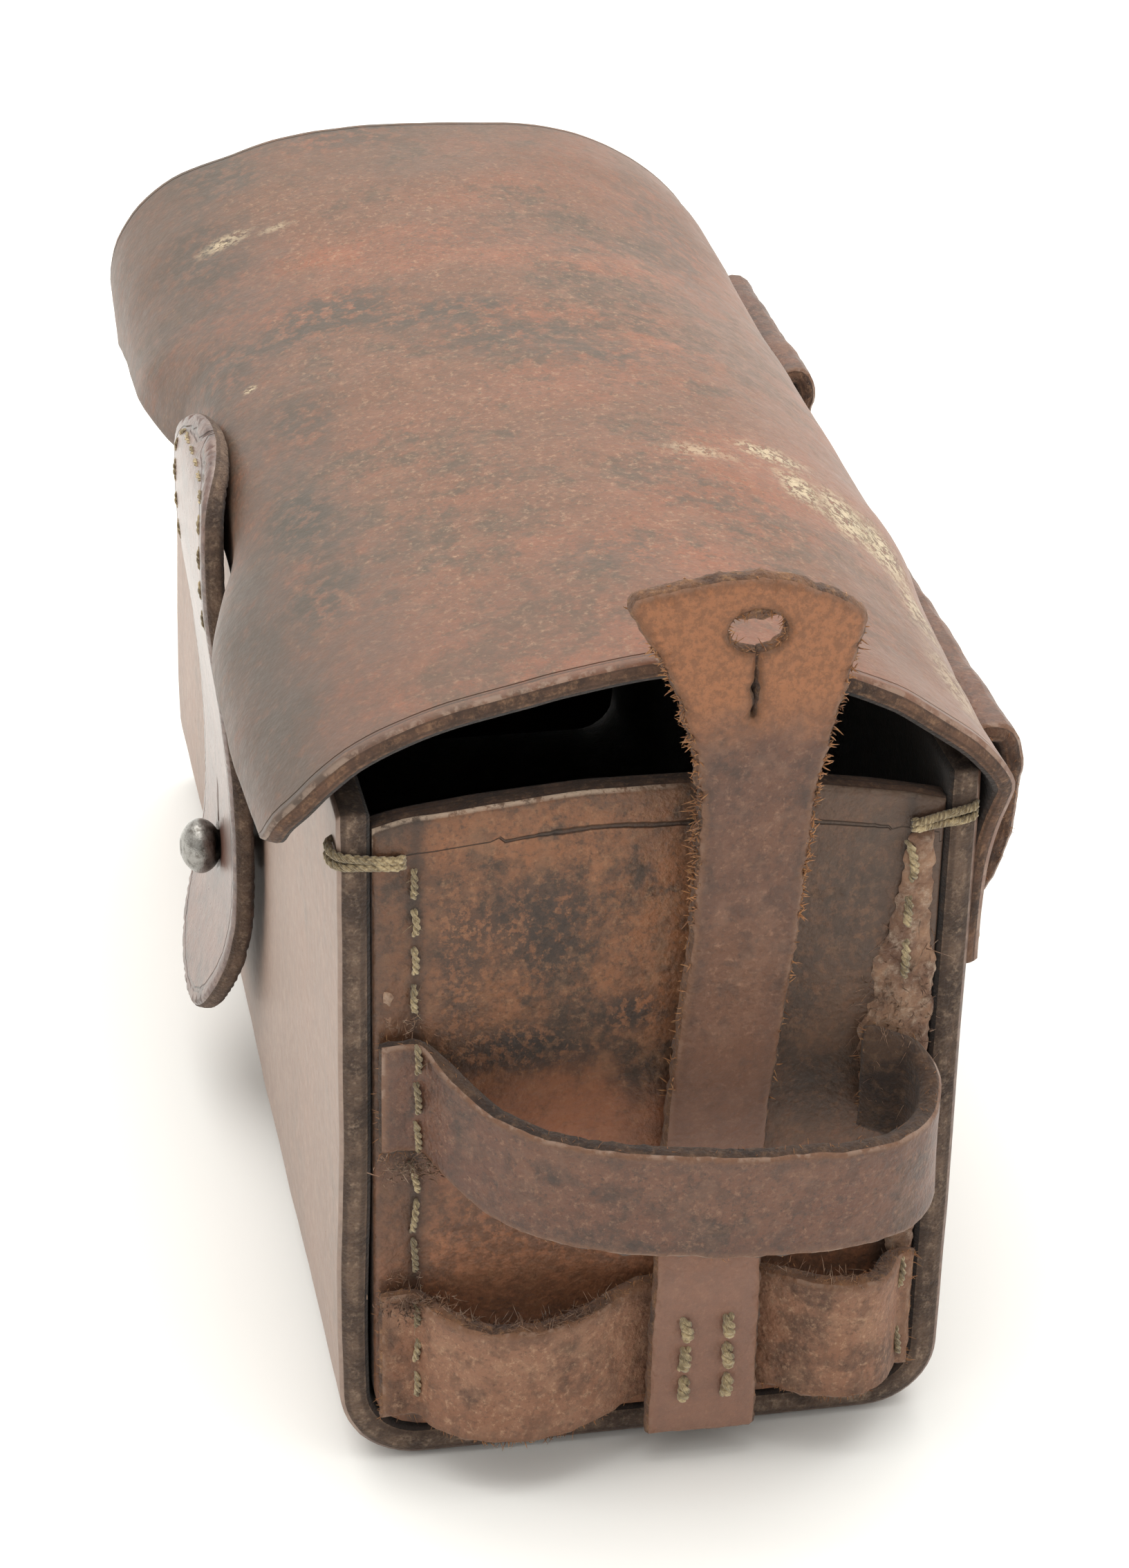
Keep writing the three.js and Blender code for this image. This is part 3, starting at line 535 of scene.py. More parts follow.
def leather(name, main, alt, dark, pale, big=38.0, dark_lo=0.5, dark_hi=0.68, streak=(1, 1, 1), extra=None,
            rough=(0.38, 0.6), grain=0.10, spec=0.5, coat=0.12, sheen=0.0, wear_highlight=0.25, speck=0.5, edge_dark=0.35, use="rest", seed=0.0, line_w=0.42, scratch=0.2, fleck=0.6, line_k=0.75, rub_highlight=(0.36, 0.265, 0.205, 1), mid=0.5):
    """Worn vegetable-tanned leather. extra(T, p, colour, height) may add stains, scuffs and painted light and shade.
    """
    T = Tree(name)
    p = T.attr("rest")
    q = T.attr(use)
    ps = T.vec(p, streak, (seed * 13.1, seed * 7.7, seed * 3.3))
    # broad change of dye
    n1 = T.noise(ps, 1 / big, 3.0, 0.55, 0.4)
    col = T.mix(T.rng(n1, 0.38, 0.62), main, alt)
    iso = T.noise(T.vec(p, (1, 1, 1), (17, 23, 5)), 0.16, 7.0, 0.68, 0.25)
    n1b = T.add(T.mul(T.noise(T.vec(ps, (1, 1, 1), (31, 5, 9)), 2.6 / big, 2.0, 0.5, 0.3), 0.55), T.mul(iso, 0.45))
    col = T.mix(T.mul(T.rng(n1b, 0.45, 0.62), 0.7), col, alt)
    # darker, greyer stains with broken edges
    n2 = T.add(T.mul(T.noise(T.vec(ps, (1, 1, 1), (3, 19, 41)), 1.7 / big, 2.0, 0.5, 0.2), 0.5), T.mul(T.noise(T.vec(p, (1, 1, 1), (3, 9, 14)), 0.2, 9.0, 0.72), 0.5))
    stain = T.rng(n2, dark_lo, dark_hi)
    n2b = T.noise(p, 0.55, 6.0, 0.7)
    stain = T.mul(stain, T.rng(n2b, 0.34, 0.58, 0.25, 1.0))
    col = T.mix(T.mul(stain, 0.85), col, dark)
    # fine dusty mottling
    n3 = T.noise(p, 1.15, 7.0, 0.76)
    col = T.mix(T.mul(T.rng(n3, 0.5, 0.7), speck), col, pale)
    n4 = T.noise(T.vec(p, (1, 1, 1), (11, 2, 5)), 1.5, 7.0, 0.78)
    col = T.mix(T.mul(T.rng(n4, 0.5, 0.66), fleck), col, dark)
    n6 = T.noise(T.vec(p, (1, 1, 1), (1, 12, 15)), 0.36, 5.0, 0.64)
    col = T.mix(T.mul(T.rng(n6, 0.48, 0.62), mid), col, dark)
    n7 = T.noise(T.vec(p, (1, 1, 1), (21, 2, 8)), 0.28, 5.0, 0.62)
    col = T.mix(T.mul(T.rng(n7, 0.5, 0.64), mid * 0.6), col, T.mix(0.5, main, pale))
    # long faint scratches
    sc = T.noise(T.vec(p, (0.5, 0.045, 0.5), (2, 2, 2), (0.3, 0.2, 0.5)), 0.9, 1.0, 0.5, 0.1)
    scr = T.mul(T.mul(T.rng(sc, 0.70, 0.74), T.rng(n2b, 0.5, 0.6)), scratch)
    col = T.mix(scr, col, pale)
    # edges: darker, then a bright rubbed line that is partly a painted highlight
    e = T.attr("edge", "Fac")
    en = T.noise(p, 0.45, 5.0, 0.65)
    col = T.mix(T.mul(T.rng(T.add(e, T.mul(en, 3.0)), 1.2, 4.8, 1.0, 0.0), edge_dark), col, dark)
    # engraved line
    ln = T.attr("line", "Fac")
    groove = T.rng(T.math("ABSOLUTE", ln), 0.12, line_w, 1.0, 0.0)
    col = T.mix(T.mul(groove, line_k), col, tuple(0.35 * c for c in dark[:3]) + (1,))
    # surface relief in mm
    g1 = T.vor(q, 1.5, "SMOOTH_F1")
    g2 = T.noise(q, 2.4, 4.0, 0.6)
    g3 = T.noise(q, 0.35, 4.0, 0.55)
    h = T.add(T.mul(g1, grain * 0.7), T.add(T.mul(g2, grain * 1.0), T.mul(g3, grain * 3.2)))
    h = T.add(h, T.mul(scr, -0.25))
    h = T.add(h, T.mul(groove, -0.55))
    if extra:
        col, h = extra(T, p, q, col, h)
    # painted highlight: the pale line along every edge is partly rubbing, partly a stand-in for the light the rounded
    # edges catch
    worn = T.mul(T.rng(e, 0.12, 0.6, 1.0, 0.0), T.mul(T.rng(en, 0.46, 0.58), wear_highlight))
    col = T.mix(worn, col, rub_highlight)
    rr = T.rng(T.add(T.mul(n3, 0.5), T.mul(n2b, 0.5)), 0.32, 0.68, rough[0], rough[1], False)
    return T.done(col, rr, h, spec, coat, 0.32, sheen)


def suede(name, main, pale, dark, grain=0.5, scale=1.0, rough=0.88, sheen=0.15, layers=None):
    """Flesh side or a cut edge: rough, fibrous, without gloss."""
    T = Tree(name)
    p = T.attr("rest")
    n1 = T.noise(p, 0.16, 6.0, 0.65)
    col = T.mix(T.rng(n1, 0.36, 0.64), main, dark)
    n2 = T.noise(T.vec(p, (1, 1, 1), (9, 3, 7)), 0.9 * scale, 8.0, 0.75)
    col = T.mix(T.mul(T.rng(n2, 0.46, 0.72), 0.75), col, pale)
    n3 = T.vor(p, 2.2 * scale)
    col = T.mix(T.mul(T.rng(n3, 0.05, 0.4, 1.0, 0.0), 0.35), col, dark)
    if layers:
        u = T.xyz(T.attr("uvw"))[2]
        w = T.noise(T.vec(p, (0.25, 0.25, 0.25)), 1.0, 3.0, 0.5)
        k = T.math("SINE", T.mul(T.add(u, T.mul(w, 0.8)), layers))
        col = T.mix(T.rng(k, 0.2, 1.0, 0.0, 0.55), col, dark)
    h = T.add(T.mul(n2, grain), T.mul(n3, grain * -0.35))
    return T.done(col, T.rng(n2, 0.3, 0.7, rough - 0.12, min(1.0, rough + 0.08)), h, 0.3, 0.0, 0.3, sheen)


C = dict(
    red=srgb(138, 78, 58), brown=srgb(112, 72, 55), grey=srgb(86, 68, 60), dust=srgb(158, 126, 108),
    rust=srgb(150, 82, 46), umber=srgb(70, 48, 38), mauve=srgb(120, 82, 68), tan=srgb(190, 138, 92),
    orange=srgb(165, 96, 52), choc=srgb(84, 56, 44), straw=srgb(176, 146, 92),
)


def flap_extra(T, p, q, col, h):
    x, y, z = T.xyz(p)
    w = T.noise(p, 0.06, 6.0, 0.65)
    w2 = T.noise(p, 0.5, 6.0, 0.7)
    # grey band along the front shoulder and around the far end
    yy = T.add(y, T.mul(T.math("SUBTRACT", w, 0.5), 34))
    band = T.rng(yy, -36.0, -20.0, 1.0, 0.0)
    band = T.mul(band, T.rng(w2, 0.3, 0.62, 0.35, 0.95))
    col = T.mix(T.mul(band, 0.8), col, srgb(84, 72, 64))
    xx = T.add(x, T.mul(T.math("SUBTRACT", w, 0.5), 60))
    far = T.mul(T.rng(xx, -88.0, -56.0, 1.0, 0.0), T.rng(w2, 0.3, 0.6, 0.4, 0.9))
    col = T.mix(T.mul(far, 0.6), col, srgb(90, 74, 62))
    near = T.mul(T.rng(xx, 58.0, 84.0), T.rng(w2, 0.35, 0.6, 0.45, 1.0))
    col = T.mix(T.mul(near, 0.45), col, srgb(100, 70, 56))
    # painted sheen: the back slope is made paler, standing in for the hazy sheen it shows at a grazing angle
    back = T.mul(T.rng(T.add(y, T.mul(w, 16)), 26.0, 44.0), T.rng(w2, 0.35, 0.65, 0.4, 1.0))
    col = T.mix(T.mul(back, 0.5), col, srgb(138, 108, 94))
    # two smudged rows of dark marks across the top
    for cx, cy, sx, sy, a in ((-25, -22, 10, 14, 0.85), (-17, -8, 7, 14, 0.8), (-6, -2, 8, 15, 0.7), (2, 12, 7, 12, 0.5), (-44, 4, 8, 22, 0.3), (6, -30, 14, 5, 0.6), (35, -34, 14, 5, 0.9), (57, -35, 10, 5, 0.7), (-21, -38, 14, 5, 0.6), (67, -2, 7, 8, 0.5), (-88, -30, 12, 9, 0.7), (-92, -12, 8, 14, 0.6), (-62, -36, 18, 7, 0.6), (50, 14, 8, 9, 0.3), (-60, 34, 34, 8, 0.5), (76, 30, 10, 8, 0.35)):
        b = T.ball(p, (cx, cy, 106), (sx, sy, 30), w, 0.7)
        col = T.mix(T.mul(T.mul(b, T.rng(w2, 0.42, 0.54)), a), col, srgb(70, 63, 54))
    # pale scuffs by the back crest, worn through to the fibre
    for cx, cy, sx, sy, a in ((35, 16, 3, 6, 0.55), (30, 27, 3.4, 6.5, 1.0), (39, 29, 6, 3.5, 1.0), (41, 34.5, 8.5, 4.5, 1.0), (44, 39, 9, 4, 1.0), (58, 40, 10, 3, 0.7), (78, 39, 10, 3, 0.5), (-64, -32, 2.6, 4.5, 0.75), (-62, -25, 1.6, 3, 0.5), (-11, -35, 1.3, 1.0, 0.9)):
        b = T.ball(p, (cx, cy, 106 - 0.006 * cy * cy), (sx, sy, 9), w2, 0.8)
        n = T.noise(T.vec(p, (1, 1, 1), (cx, cy, 0)), 0.9, 6.0, 0.75)
        k = T.mul(T.mul(b, T.rng(n, 0.42, 0.52)), a)
        col = T.mix(k, col, srgb(190, 172, 142))
        h = T.add(h, T.mul(k, -0.12))
    b = T.ball(p, (66, -43, 96), (42, 7, 16), w, 0.8)
    col = T.mix(T.mul(T.mul(b, T.rng(w2, 0.3, 0.5, 0.5, 1.0)), 0.8), col, srgb(74, 67, 60))
    return col, h


def panel_extra(T, p, q, col, h):
    x, y, z = T.xyz(p)
    w = T.noise(p, 0.1, 6.0, 0.65)
    w2 = T.noise(p, 0.8, 6.0, 0.72)
    grey = T.mul(T.rng(T.add(y, T.mul(w, 14)), 8.0, 24.0), T.rng(w2, 0.3, 0.6, 0.5, 1.0))
    col = T.mix(T.mul(grey, 0.7), col, srgb(86, 68, 56))
    for cy, cz, sy, sz, a in ((-16, 58, 11, 4.6, 0.95), (-14, 76, 9, 8, 0.75), (-3, 62, 7, 4, 0.9), (-24, 70, 4, 20, 0.65), (-8, 31, 18, 7, 0.6), (-20, 34, 8, 8, 0.6), (24, 72, 8, 14, 0.45), (-12, 70, 7, 6, 0.65), (16, 62, 6, 12, 0.4), (-27, 20, 5, 16, 0.4), (20, 50, 8, 5, 0.5)):
        b = T.ball(p, (0, cy, cz), (400, sy, sz), w, 0.75)
        col = T.mix(T.mul(T.mul(b, T.rng(w2, 0.43, 0.53)), a), col, srgb(50, 41, 36))
    # painted light: lighter, orange colour towards the bottom, offsetting the shade that falls on the lower end panel
    base = T.mul(T.rng(T.add(z, T.mul(w, 10)), 30.0, 58.0, 1.0, 0.0), T.rng(w2, 0.3, 0.6, 0.9, 0.3))
    col = T.mix(T.mul(base, 0.7), col, srgb(170, 112, 80))
    # partly the panel's own orange tone, partly painted light lifting the shade under the upper loop
    b = T.ball(p, (0, -12, 46), (400, 22, 9), w, 0.8)
    col = T.mix(T.mul(T.mul(b, T.rng(w2, 0.3, 0.55, 0.4, 1.0)), 0.55), col, srgb(180, 110, 74))
    # darker along the sewn margins
    side = T.rng(T.add(T.math("ABSOLUTE", y), T.mul(w2, 6)), 27.5, 33.5)
    col = T.mix(T.mul(side, 0.45), col, srgb(70, 52, 42))
    # a darker line right at the stitches, and a pale top rim, partly rubbed and partly a painted highlight, strongest
    # on the front
    sl = T.math("ABSOLUTE", T.add(T.math("ABSOLUTE", T.add(y, -0.5)), -29.4))
    col = T.mix(T.mul(T.rng(T.add(sl, T.mul(w2, 2.4)), 1.2, 2.8, 1.0, 0.0), 0.7), col, srgb(48, 38, 32))
    e = T.attr("edge", "Fac")
    rim = T.mul(T.mul(T.mul(T.rng(e, 0.1, 0.5, 1.0, 0.0), T.rng(z, 84.0, 88.0)), T.rng(w2, 0.42, 0.52, 0.2, 1.0)), T.rng(y, -6.0, 4.0, 1.0, 0.15))
    col = T.mix(T.mul(rim, 0.7), col, srgb(214, 190, 168))
    return col, h


def wrap_extra(T, p, q, col, h):
    x, y, z = T.xyz(p)
    w2 = T.noise(p, 0.5, 6.0, 0.7)
    low = T.mul(T.rng(T.add(z, T.mul(w2, 14)), 10.0, 26.0, 1.0, 0.0), 0.5)
    col = T.mix(low, col, srgb(92, 66, 54))
    # painted reflection: pale colour on the front face stands in for its reflection of the bright surroundings at a
    # grazing angle
    painted_reflection = T.mul(T.rng(y, -37.0, -34.0, 1.0, 0.0), T.rng(w2, 0.25, 0.6, 0.45, 0.3))
    col = T.mix(painted_reflection, col, srgb(192, 166, 150))
    return col, h


def band_extra(T, p, q, col, h):
    # rubbed, orange fibre showing along the edges
    e = T.attr("edge", "Fac")
    n = T.noise(p, 1.3, 6.0, 0.75)
    k = T.mul(T.rng(T.add(e, T.mul(n, 1.8)), 0.9, 2.0, 1.0, 0.0), 0.7)
    col = T.mix(k, col, srgb(120, 84, 60))
    return col, h


M = {}
M["flap"] = leather("flap_leather", srgb(134, 82, 58), srgb(111, 77, 59), srgb(80, 67, 54), srgb(168, 138, 112), 46, 0.50, 0.58, (1.3, 0.75, 1.0), flap_extra, (0.38, 0.58), 0.045, 0.36, 0.06, fleck=0.8, speck=0.65, line_k=0.35, scratch=0.0, edge_dark=0.35, wear_highlight=0.45, mid=0.2)
M["wrap"] = leather("wrap_leather", srgb(112, 74, 54), srgb(94, 66, 51), srgb(64, 52, 44), srgb(160, 130, 108), 50, 0.53, 0.62, (1, 1, 0.35), wrap_extra, (0.45, 0.62), 0.025, 0.62, 0.2, seed=3, fleck=0.35, speck=0.3, mid=0.25)
M["panel"] = leather("panel_leather", srgb(136, 88, 57), srgb(112, 77, 56), srgb(56, 45, 37), srgb(170, 132, 100), 30, 0.49, 0.57, (1, 1.2, 0.8), panel_extra, (0.36, 0.6), 0.14, 0.42, 0.06, seed=5, wear_highlight=0.12, fleck=0.65, speck=0.42, mid=0.4)
M["band"] = leather("band_leather", srgb(94, 60, 45), srgb(104, 69, 51), srgb(56, 43, 36), srgb(154, 118, 94), 24, 0.52, 0.62, (1, 1, 1), band_extra, (0.36, 0.58), 0.12, 0.45, 0.1, seed=8, wear_highlight=0.4, fleck=0.7, speck=0.6, mid=0.4)
M["strap"] = leather("strap_leather", srgb(104, 71, 55), srgb(112, 75, 54), srgb(66, 50, 42), srgb(164, 126, 98), 26, 0.54, 0.66, (1, 1, 1), band_extra, (0.44, 0.66), 0.13, 0.42, 0.06, seed=12, wear_highlight=0.15, fleck=0.55, speck=0.42, mid=0.35)
M["lowband"] = leather("lower_band_leather", srgb(130, 90, 68), srgb(140, 101, 79), srgb(78, 57, 46), srgb(196, 160, 130), 16, 0.50, 0.61, (1, 1, 1), band_extra, (0.5, 0.74), 0.22, 0.36, 0.0, seed=9, wear_highlight=0.3, fleck=0.6, speck=0.6, scratch=0.5, mid=0.4)
M["tab"] = leather("tab_leather", srgb(112, 76, 62), srgb(98, 66, 56), srgb(62, 48, 44), srgb(158, 128, 112), 26, 0.53, 0.66, (1, 1, 1), None, (0.24, 0.38), 0.06, 0.65, 0.4, seed=15, fleck=0.4, speck=0.3, line_k=0.3)


def head_extra(T, p, q, col, h):
    # the strap's suede-like head is orange and worn; the shank keeps its grain
    z = T.xyz(p)[2]
    w = T.noise(p, 0.25, 5.0, 0.65)
    k = T.rng(T.add(z, T.mul(w, 9)), 103.0, 112.0)
    n = T.noise(p, 1.1, 7.0, 0.75)
    c2 = T.mix(T.rng(n, 0.42, 0.58), srgb(184, 122, 82), srgb(152, 102, 70))
    col = T.mix(T.mul(k, 0.85), col, c2)
    h = T.add(h, T.mul(T.mul(k, n), 0.5))
    col, h = band_extra(T, p, q, col, h)
    # painted light: the strap is made lighter below about 60 mm, offsetting the shade of the loops
    for cz, a in ((9, 0.5),):
        col = T.mix(T.mul(T.rng(T.add(z, T.mul(w, 8)), 48.0, 72.0, 1.0, 0.0), 0.48), col, srgb(156, 116, 98))
    return col, h


M["endstrap"] = leather("end_strap_leather", srgb(97, 65, 50), srgb(105, 70, 51), srgb(62, 47, 40), srgb(168, 130, 106), 26, 0.54, 0.66, (1, 1, 1), head_extra, (0.38, 0.6), 0.13, 0.42, 0.08, seed=12, wear_highlight=0.15, fleck=0.55, speck=0.45, mid=0.4)
M["cut"] = suede("cut_edge", srgb(104, 76, 60), srgb(150, 116, 90), srgb(62, 46, 38), 0.30, 1.0, 0.85, 0.1, 3.4)
M["cutdark"] = suede("cut_edge_dark", srgb(118, 95, 79), srgb(172, 148, 126), srgb(70, 54, 45), 0.6, 1.0, 0.82, 0.1, 2.2)
M["flesh"] = suede("flesh_side", srgb(84, 62, 48), srgb(124, 96, 74), srgb(52, 39, 33), 0.45)
M["inner"] = suede("inside_leather", srgb(50, 38, 32), srgb(74, 57, 46), srgb(30, 24, 22), 0.3)
M["fringe"] = suede("frayed_edge", srgb(124, 86, 60), srgb(176, 132, 92), srgb(78, 55, 42), 0.5)
M["fibre"] = suede("loose_fibre", srgb(176, 120, 74), srgb(212, 162, 108), srgb(126, 82, 52), 0.2, sheen=0.2)
M["torn"] = suede("torn_leather", srgb(204, 158, 126), srgb(238, 214, 190), srgb(134, 96, 74), 1.7, 0.55)


def thread_mat():
    T = Tree("linen_thread")
    p = T.attr("rest")
    u = T.xyz(T.attr("uvw"))
    n = T.noise(p, 1.6, 6.0, 0.7)
    col = T.mix(T.rng(n, 0.38, 0.66), srgb(192, 172, 134), srgb(132, 112, 82))
    n2 = T.noise(p, 0.25, 3.0, 0.6)
    col = T.mix(T.mul(T.rng(n2, 0.42, 0.56), 0.65), col, srgb(92, 78, 58))
    k = T.math("SINE", T.add(T.mul(u[0], 9.0), T.mul(u[1], 2.1)))
    col = T.mix(T.rng(k, 0.0, 1.0, 0.0, 0.3), col, srgb(208, 190, 152))
    h = T.add(T.mul(k, 0.05), T.mul(n, 0.15))
    return T.done(col, T.rng(n, 0.3, 0.7, 0.7, 0.95), h, 0.3, 0.0, 0.3, 0.25)


def nickel_mat():
    T = Tree("worn_nickel")
    p = T.attr("rest")
    n = T.noise(p, 0.9, 6.0, 0.7)
    col = T.mix(T.rng(n, 0.45, 0.7), srgb(150, 148, 144), srgb(98, 94, 89))
    n2 = T.noise(T.vec(p, (1, 1, 1), (4, 4, 4)), 2.4, 5.0, 0.7)
    col = T.mix(T.mul(T.rng(n2, 0.6, 0.75), 0.6), col, srgb(92, 84, 76))
    r = T.rng(T.add(T.mul(n, 0.6), T.mul(n2, 0.4)), 0.3, 0.7, 0.08, 0.3)
    return T.done(col, r, T.mul(n2, 0.06), 0.5, 0.0, 0.3, 0.0, 1.0)


M["thread"] = thread_mat()
M["nickel"] = nickel_mat()
EX, EY = 93.5, 38.0

# ---- body wrap ----------------------------------------------------------
def wrap_path(d, n=None):
    """Outline of the wrap at depth d under its outer face, front top to back top."""
    def arc(cy, cz, r, a0, a1, k):
        return [(cy + r * math.cos(a), cz + r * math.sin(a)) for a in np.linspace(a0, a1, k)]
    zs = [91 - q for q in (0, 0.35, 0.9, 1.8)] + list(np.linspace(88, 12, 34))
    pts = [(-EY + d, z) for z in zs]
    pts += arc(-EY + 10, 10, 10 - d, math.pi, 1.5 * math.pi, 12)
    pts += [(y, d) for y in np.linspace(-EY + 12.5, EY - 11.5, 24)]
    pts += arc(EY - 9, 9, 9 - d, 1.5 * math.pi, 2 * math.pi, 12)
    pts += [(EY - d, z) for z in list(reversed(zs))]
    return np.array(pts)


def front_bow(x, y, z):
    """The front is drawn in a little where the tongue lies and swells above the bottom."""
    f = sstep(-30, -37, y)
    return f * (0.9 * np.exp(-((x / 26) ** 2)) * np.exp(-(((z - 52) / 30) ** 2)) - 0.5 * np.exp(-(((z - 20) / 16) ** 2)))


b = Build()
xs = -EX + 2 * EX * stations(2 * EX, 3.2)
po, pin = wrap_path(0), wrap_path(3.8)
outer = np.array([[(x, y, z) for y, z in po] for x in xs])
inner = np.array([[(x, y, z) for y, z in pin] for x in xs])
flat = outer.reshape(-1, 3)
w = nz(flat, 21, 3) * 0.28 + nz(flat, 7, 9) * 0.08
dy = front_bow(flat[:, 0], flat[:, 1], flat[:, 2])
flat[:, 1] += dy + w * np.where(flat[:, 1] < -36, 1, np.where(flat[:, 1] > 36, -0.6, 0))
outer = flat.reshape(outer.shape)
inner[:, :, 1] += (dy + 0).reshape(outer.shape[:2])
slab(b, outer, inner, 5, 0.25, 0.16, 0.45, 1.3)
b.make("case_wrap", [M["wrap"], M["cutdark"], M["inner"]], "case", ["body_wrap"], "wrap_leather")

# ---- end panels ---------------------------------------------------------
TOP_ARC = [(-33.95, 88.9), (-31.5, 89.6), (-28, 90.1), (-21.5, 90.9), (-9, 91.8), (3, 91.7), (10, 91.3), (18.2, 90.4), (25.6, 89.2), (31.5, 87.9), (33.95, 87.3)]
TA = np.array(TOP_ARC)


def gusset_piece(sign, name):
    b = Build()
    half, low = 33.95, 4.05
    ys = -half + 2 * half * stations(2 * half, 1.7)
    vz = stations(86, 1.8)
    g, gi, ln = [], [], []
    for y in ys:
        r = 6.1
        zl = low + (r - math.sqrt(max(0, r * r - max(0, abs(y) - (half - r)) ** 2)))
        zt = float(np.interp(y, TA[:, 0], TA[:, 1]))
        col, coli, l = [], [], []
        for v in vz:
            z = zl + (zt - zl) * v
            p = (y, z)
            bump = 0.22 * math.sin(y * 0.09 + 1) * math.sin(z * 0.05) - 0.35 * math.exp(-((abs(y) - 29.5) / 1.6) ** 2)
            col.append((EX + bump, y, z))
            coli.append((EX - 3.8, y, z))
            fade = 0.6 * max(0.0, 1 - min(abs(y + 18), abs(y - 27)) / 6) + (3.0 if y < -19 or y > 28 else 0.0)
            dz = zt - z - 4.9 - 0.25 * math.sin(y * 0.2)
            l.append((abs(dz) + fade + 0.12 * math.sin(y * 0.7)) * (1 if dz >= 0 else -1))
        g.append(col)
        gi.append(coli)
        ln.append(l)
    g, gi = np.array(g), np.array(gi)
    f = g.reshape(-1, 3)
    f[:, 0] += nz(f, 12, 4) * 0.22 + nz(f, 4, 8) * 0.08
    g = f.reshape(g.shape)
    g[:, :, 0] *= sign
    gi[:, :, 0] *= sign
    slab(b, g, gi, 5, 0.15, 0.12, 0.5, 2.1, line=np.array(ln))
    return b.make(name, [M["panel"], M["cut"], M["inner"]], "case", [("right" if sign > 0 else "left") + "_gusset"], "panel_leather")


gusset_piece(1, "right_end_panel")
gusset_piece(-1, "left_end_panel")

# ---- flap ---------------------------------------------------------------
TOPN = [(-29, 103.6), (-20, 106.2), (-10, 108.3), (0, 109.4), (10, 108.6), (19.7, 106.4), (27, 103.2), (32.5, 99.2), (37.0, 95.6), (40.0, 92.4), (41.9, 88.9)]
TOPM = [(-29, 103.6), (-20, 106.2), (-10, 108.3), (0, 109.4), (10, 109.0), (19.5, 107.3), (28.4, 104.2), (35.3, 100.3), (40.8, 96.2), (44.4, 92.2), (46.0, 88.6)]
TOPF = [(-29, 105.0), (-20, 107.8), (-10, 109.3), (0, 109.8), (10, 109.6), (19.5, 108.6), (28.0, 106.2), (35.6, 102.4), (41.6, 97.8), (45.2, 93.2), (46.6, 88.8)]
ROOTN = [(42.5, 86), (42.3, 82), (41.6, 78.5), (41.1, 75), (40.8, 68), (40.7, 59.5)]
ROOTE = [(41.8, 86.5), (41.0, 83), (40.3, 79.8), (39.8, 76.5), (39.6, 71), (39.6, 64.5)]
ROOTM = [(45.6, 85.4), (43.9, 81.8), (42.3, 78.4), (41.5, 75), (41.4, 68), (41.4, 58.5)]
ROOTF = [(45.8, 85.2), (44.0, 81.8), (42.3, 78.4), (41.5, 75), (41.4, 68), (41.4, 58.5)]
KEYS = [
    (-96.0, [(-46.4, 79.8), (-47.2, 86), (-46.0, 92.6), (-42.4, 98.2), (-37, 102.2)], TOPF, ROOTF),
    (-84.0, [(-47.2, 80.8), (-47.2, 87), (-45.4, 93.0), (-41.6, 98.0), (-36.4, 101.7)], TOPF, ROOTF),
    (-72.0, [(-47.4, 83.2), (-46.9, 88.4), (-44.8, 93.6), (-41.0, 97.9), (-36, 101.3)], [tuple((np.array(a) * 0.6 + np.array(c) * 0.4)) for a, c in zip(TOPF, TOPM)], ROOTF),
    (-46.0, [(-47.8, 86.6), (-46.5, 91), (-43.5, 95), (-39.8, 98.2), (-35.3, 101.1)], TOPM, ROOTM),
    (-33.0, [(-45.6, 86.2), (-44.6, 91), (-42.6, 94.8), (-39.5, 98.1), (-35.1, 101.0)], TOPM, ROOTM),
    (-19.0, [(-41.7, 85), (-41.6, 90.5), (-41.3, 94.2), (-39.3, 98), (-35, 101)], TOPM, ROOTM),
    (0.0, [(-41.4, 85), (-41.4, 90.5), (-41.2, 94.2), (-39.3, 98), (-35, 101)], TOPM, ROOTM),
    (19.0, [(-41.6, 85), (-41.5, 90.5), (-41.2, 94.2), (-39.3, 98), (-35, 101)], TOPM, ROOTM),
    (33.0, [(-45.0, 86.4), (-44.0, 91), (-42.3, 94.5), (-39.3, 98), (-35, 101)], TOPM, ROOTM),
    (48.0, [(-47.0, 87.2), (-45.8, 91), (-43.0, 94.7), (-39.4, 98), (-35, 101)], [tuple((np.array(a) * 0.5 + np.array(c) * 0.5)) for a, c in zip(TOPN, TOPM)], ROOTM),
    (80.0, [(-46.9, 87.2), (-45.8, 91), (-42.8, 94.8), (-39.5, 97.9), (-35.3, 100.8)], TOPN, ROOTN),
    (96.0, [(-46.6, 88.3), (-45.4, 91.7), (-42.5, 94.9), (-39.6, 97.8), (-35.6, 100.6)], TOPN, ROOTE),
]
kx = np.array([k[0] for k in KEYS])
kp = np.array([[*k[1], *k[2], *k[3]] for k in KEYS], float)


def flap_profile(x):
    i = int(np.clip(np.searchsorted(kx, x) - 1, 0, len(kx) - 2))
    x0, x1 = kx[i], kx[i + 1]
    t = (x - x0) / (x1 - x0)
    pm = kp[max(i - 1, 0)]
    pn = kp[min(i + 2, len(kx) - 1)]
    m0 = (kp[i + 1] - pm) / (x1 - kx[max(i - 1, 0)]) * (x1 - x0)
    m1 = (pn - kp[i]) / (kx[min(i + 2, len(kx) - 1)] - x0) * (x1 - x0)
    h = kp[i] * (2 * t ** 3 - 3 * t ** 2 + 1) + m0 * (t ** 3 - 2 * t ** 2 + t) + kp[i + 1] * (3 * t ** 2 - 2 * t ** 3) + m1 * (t ** 3 - t ** 2)
    return spline(h, FV)


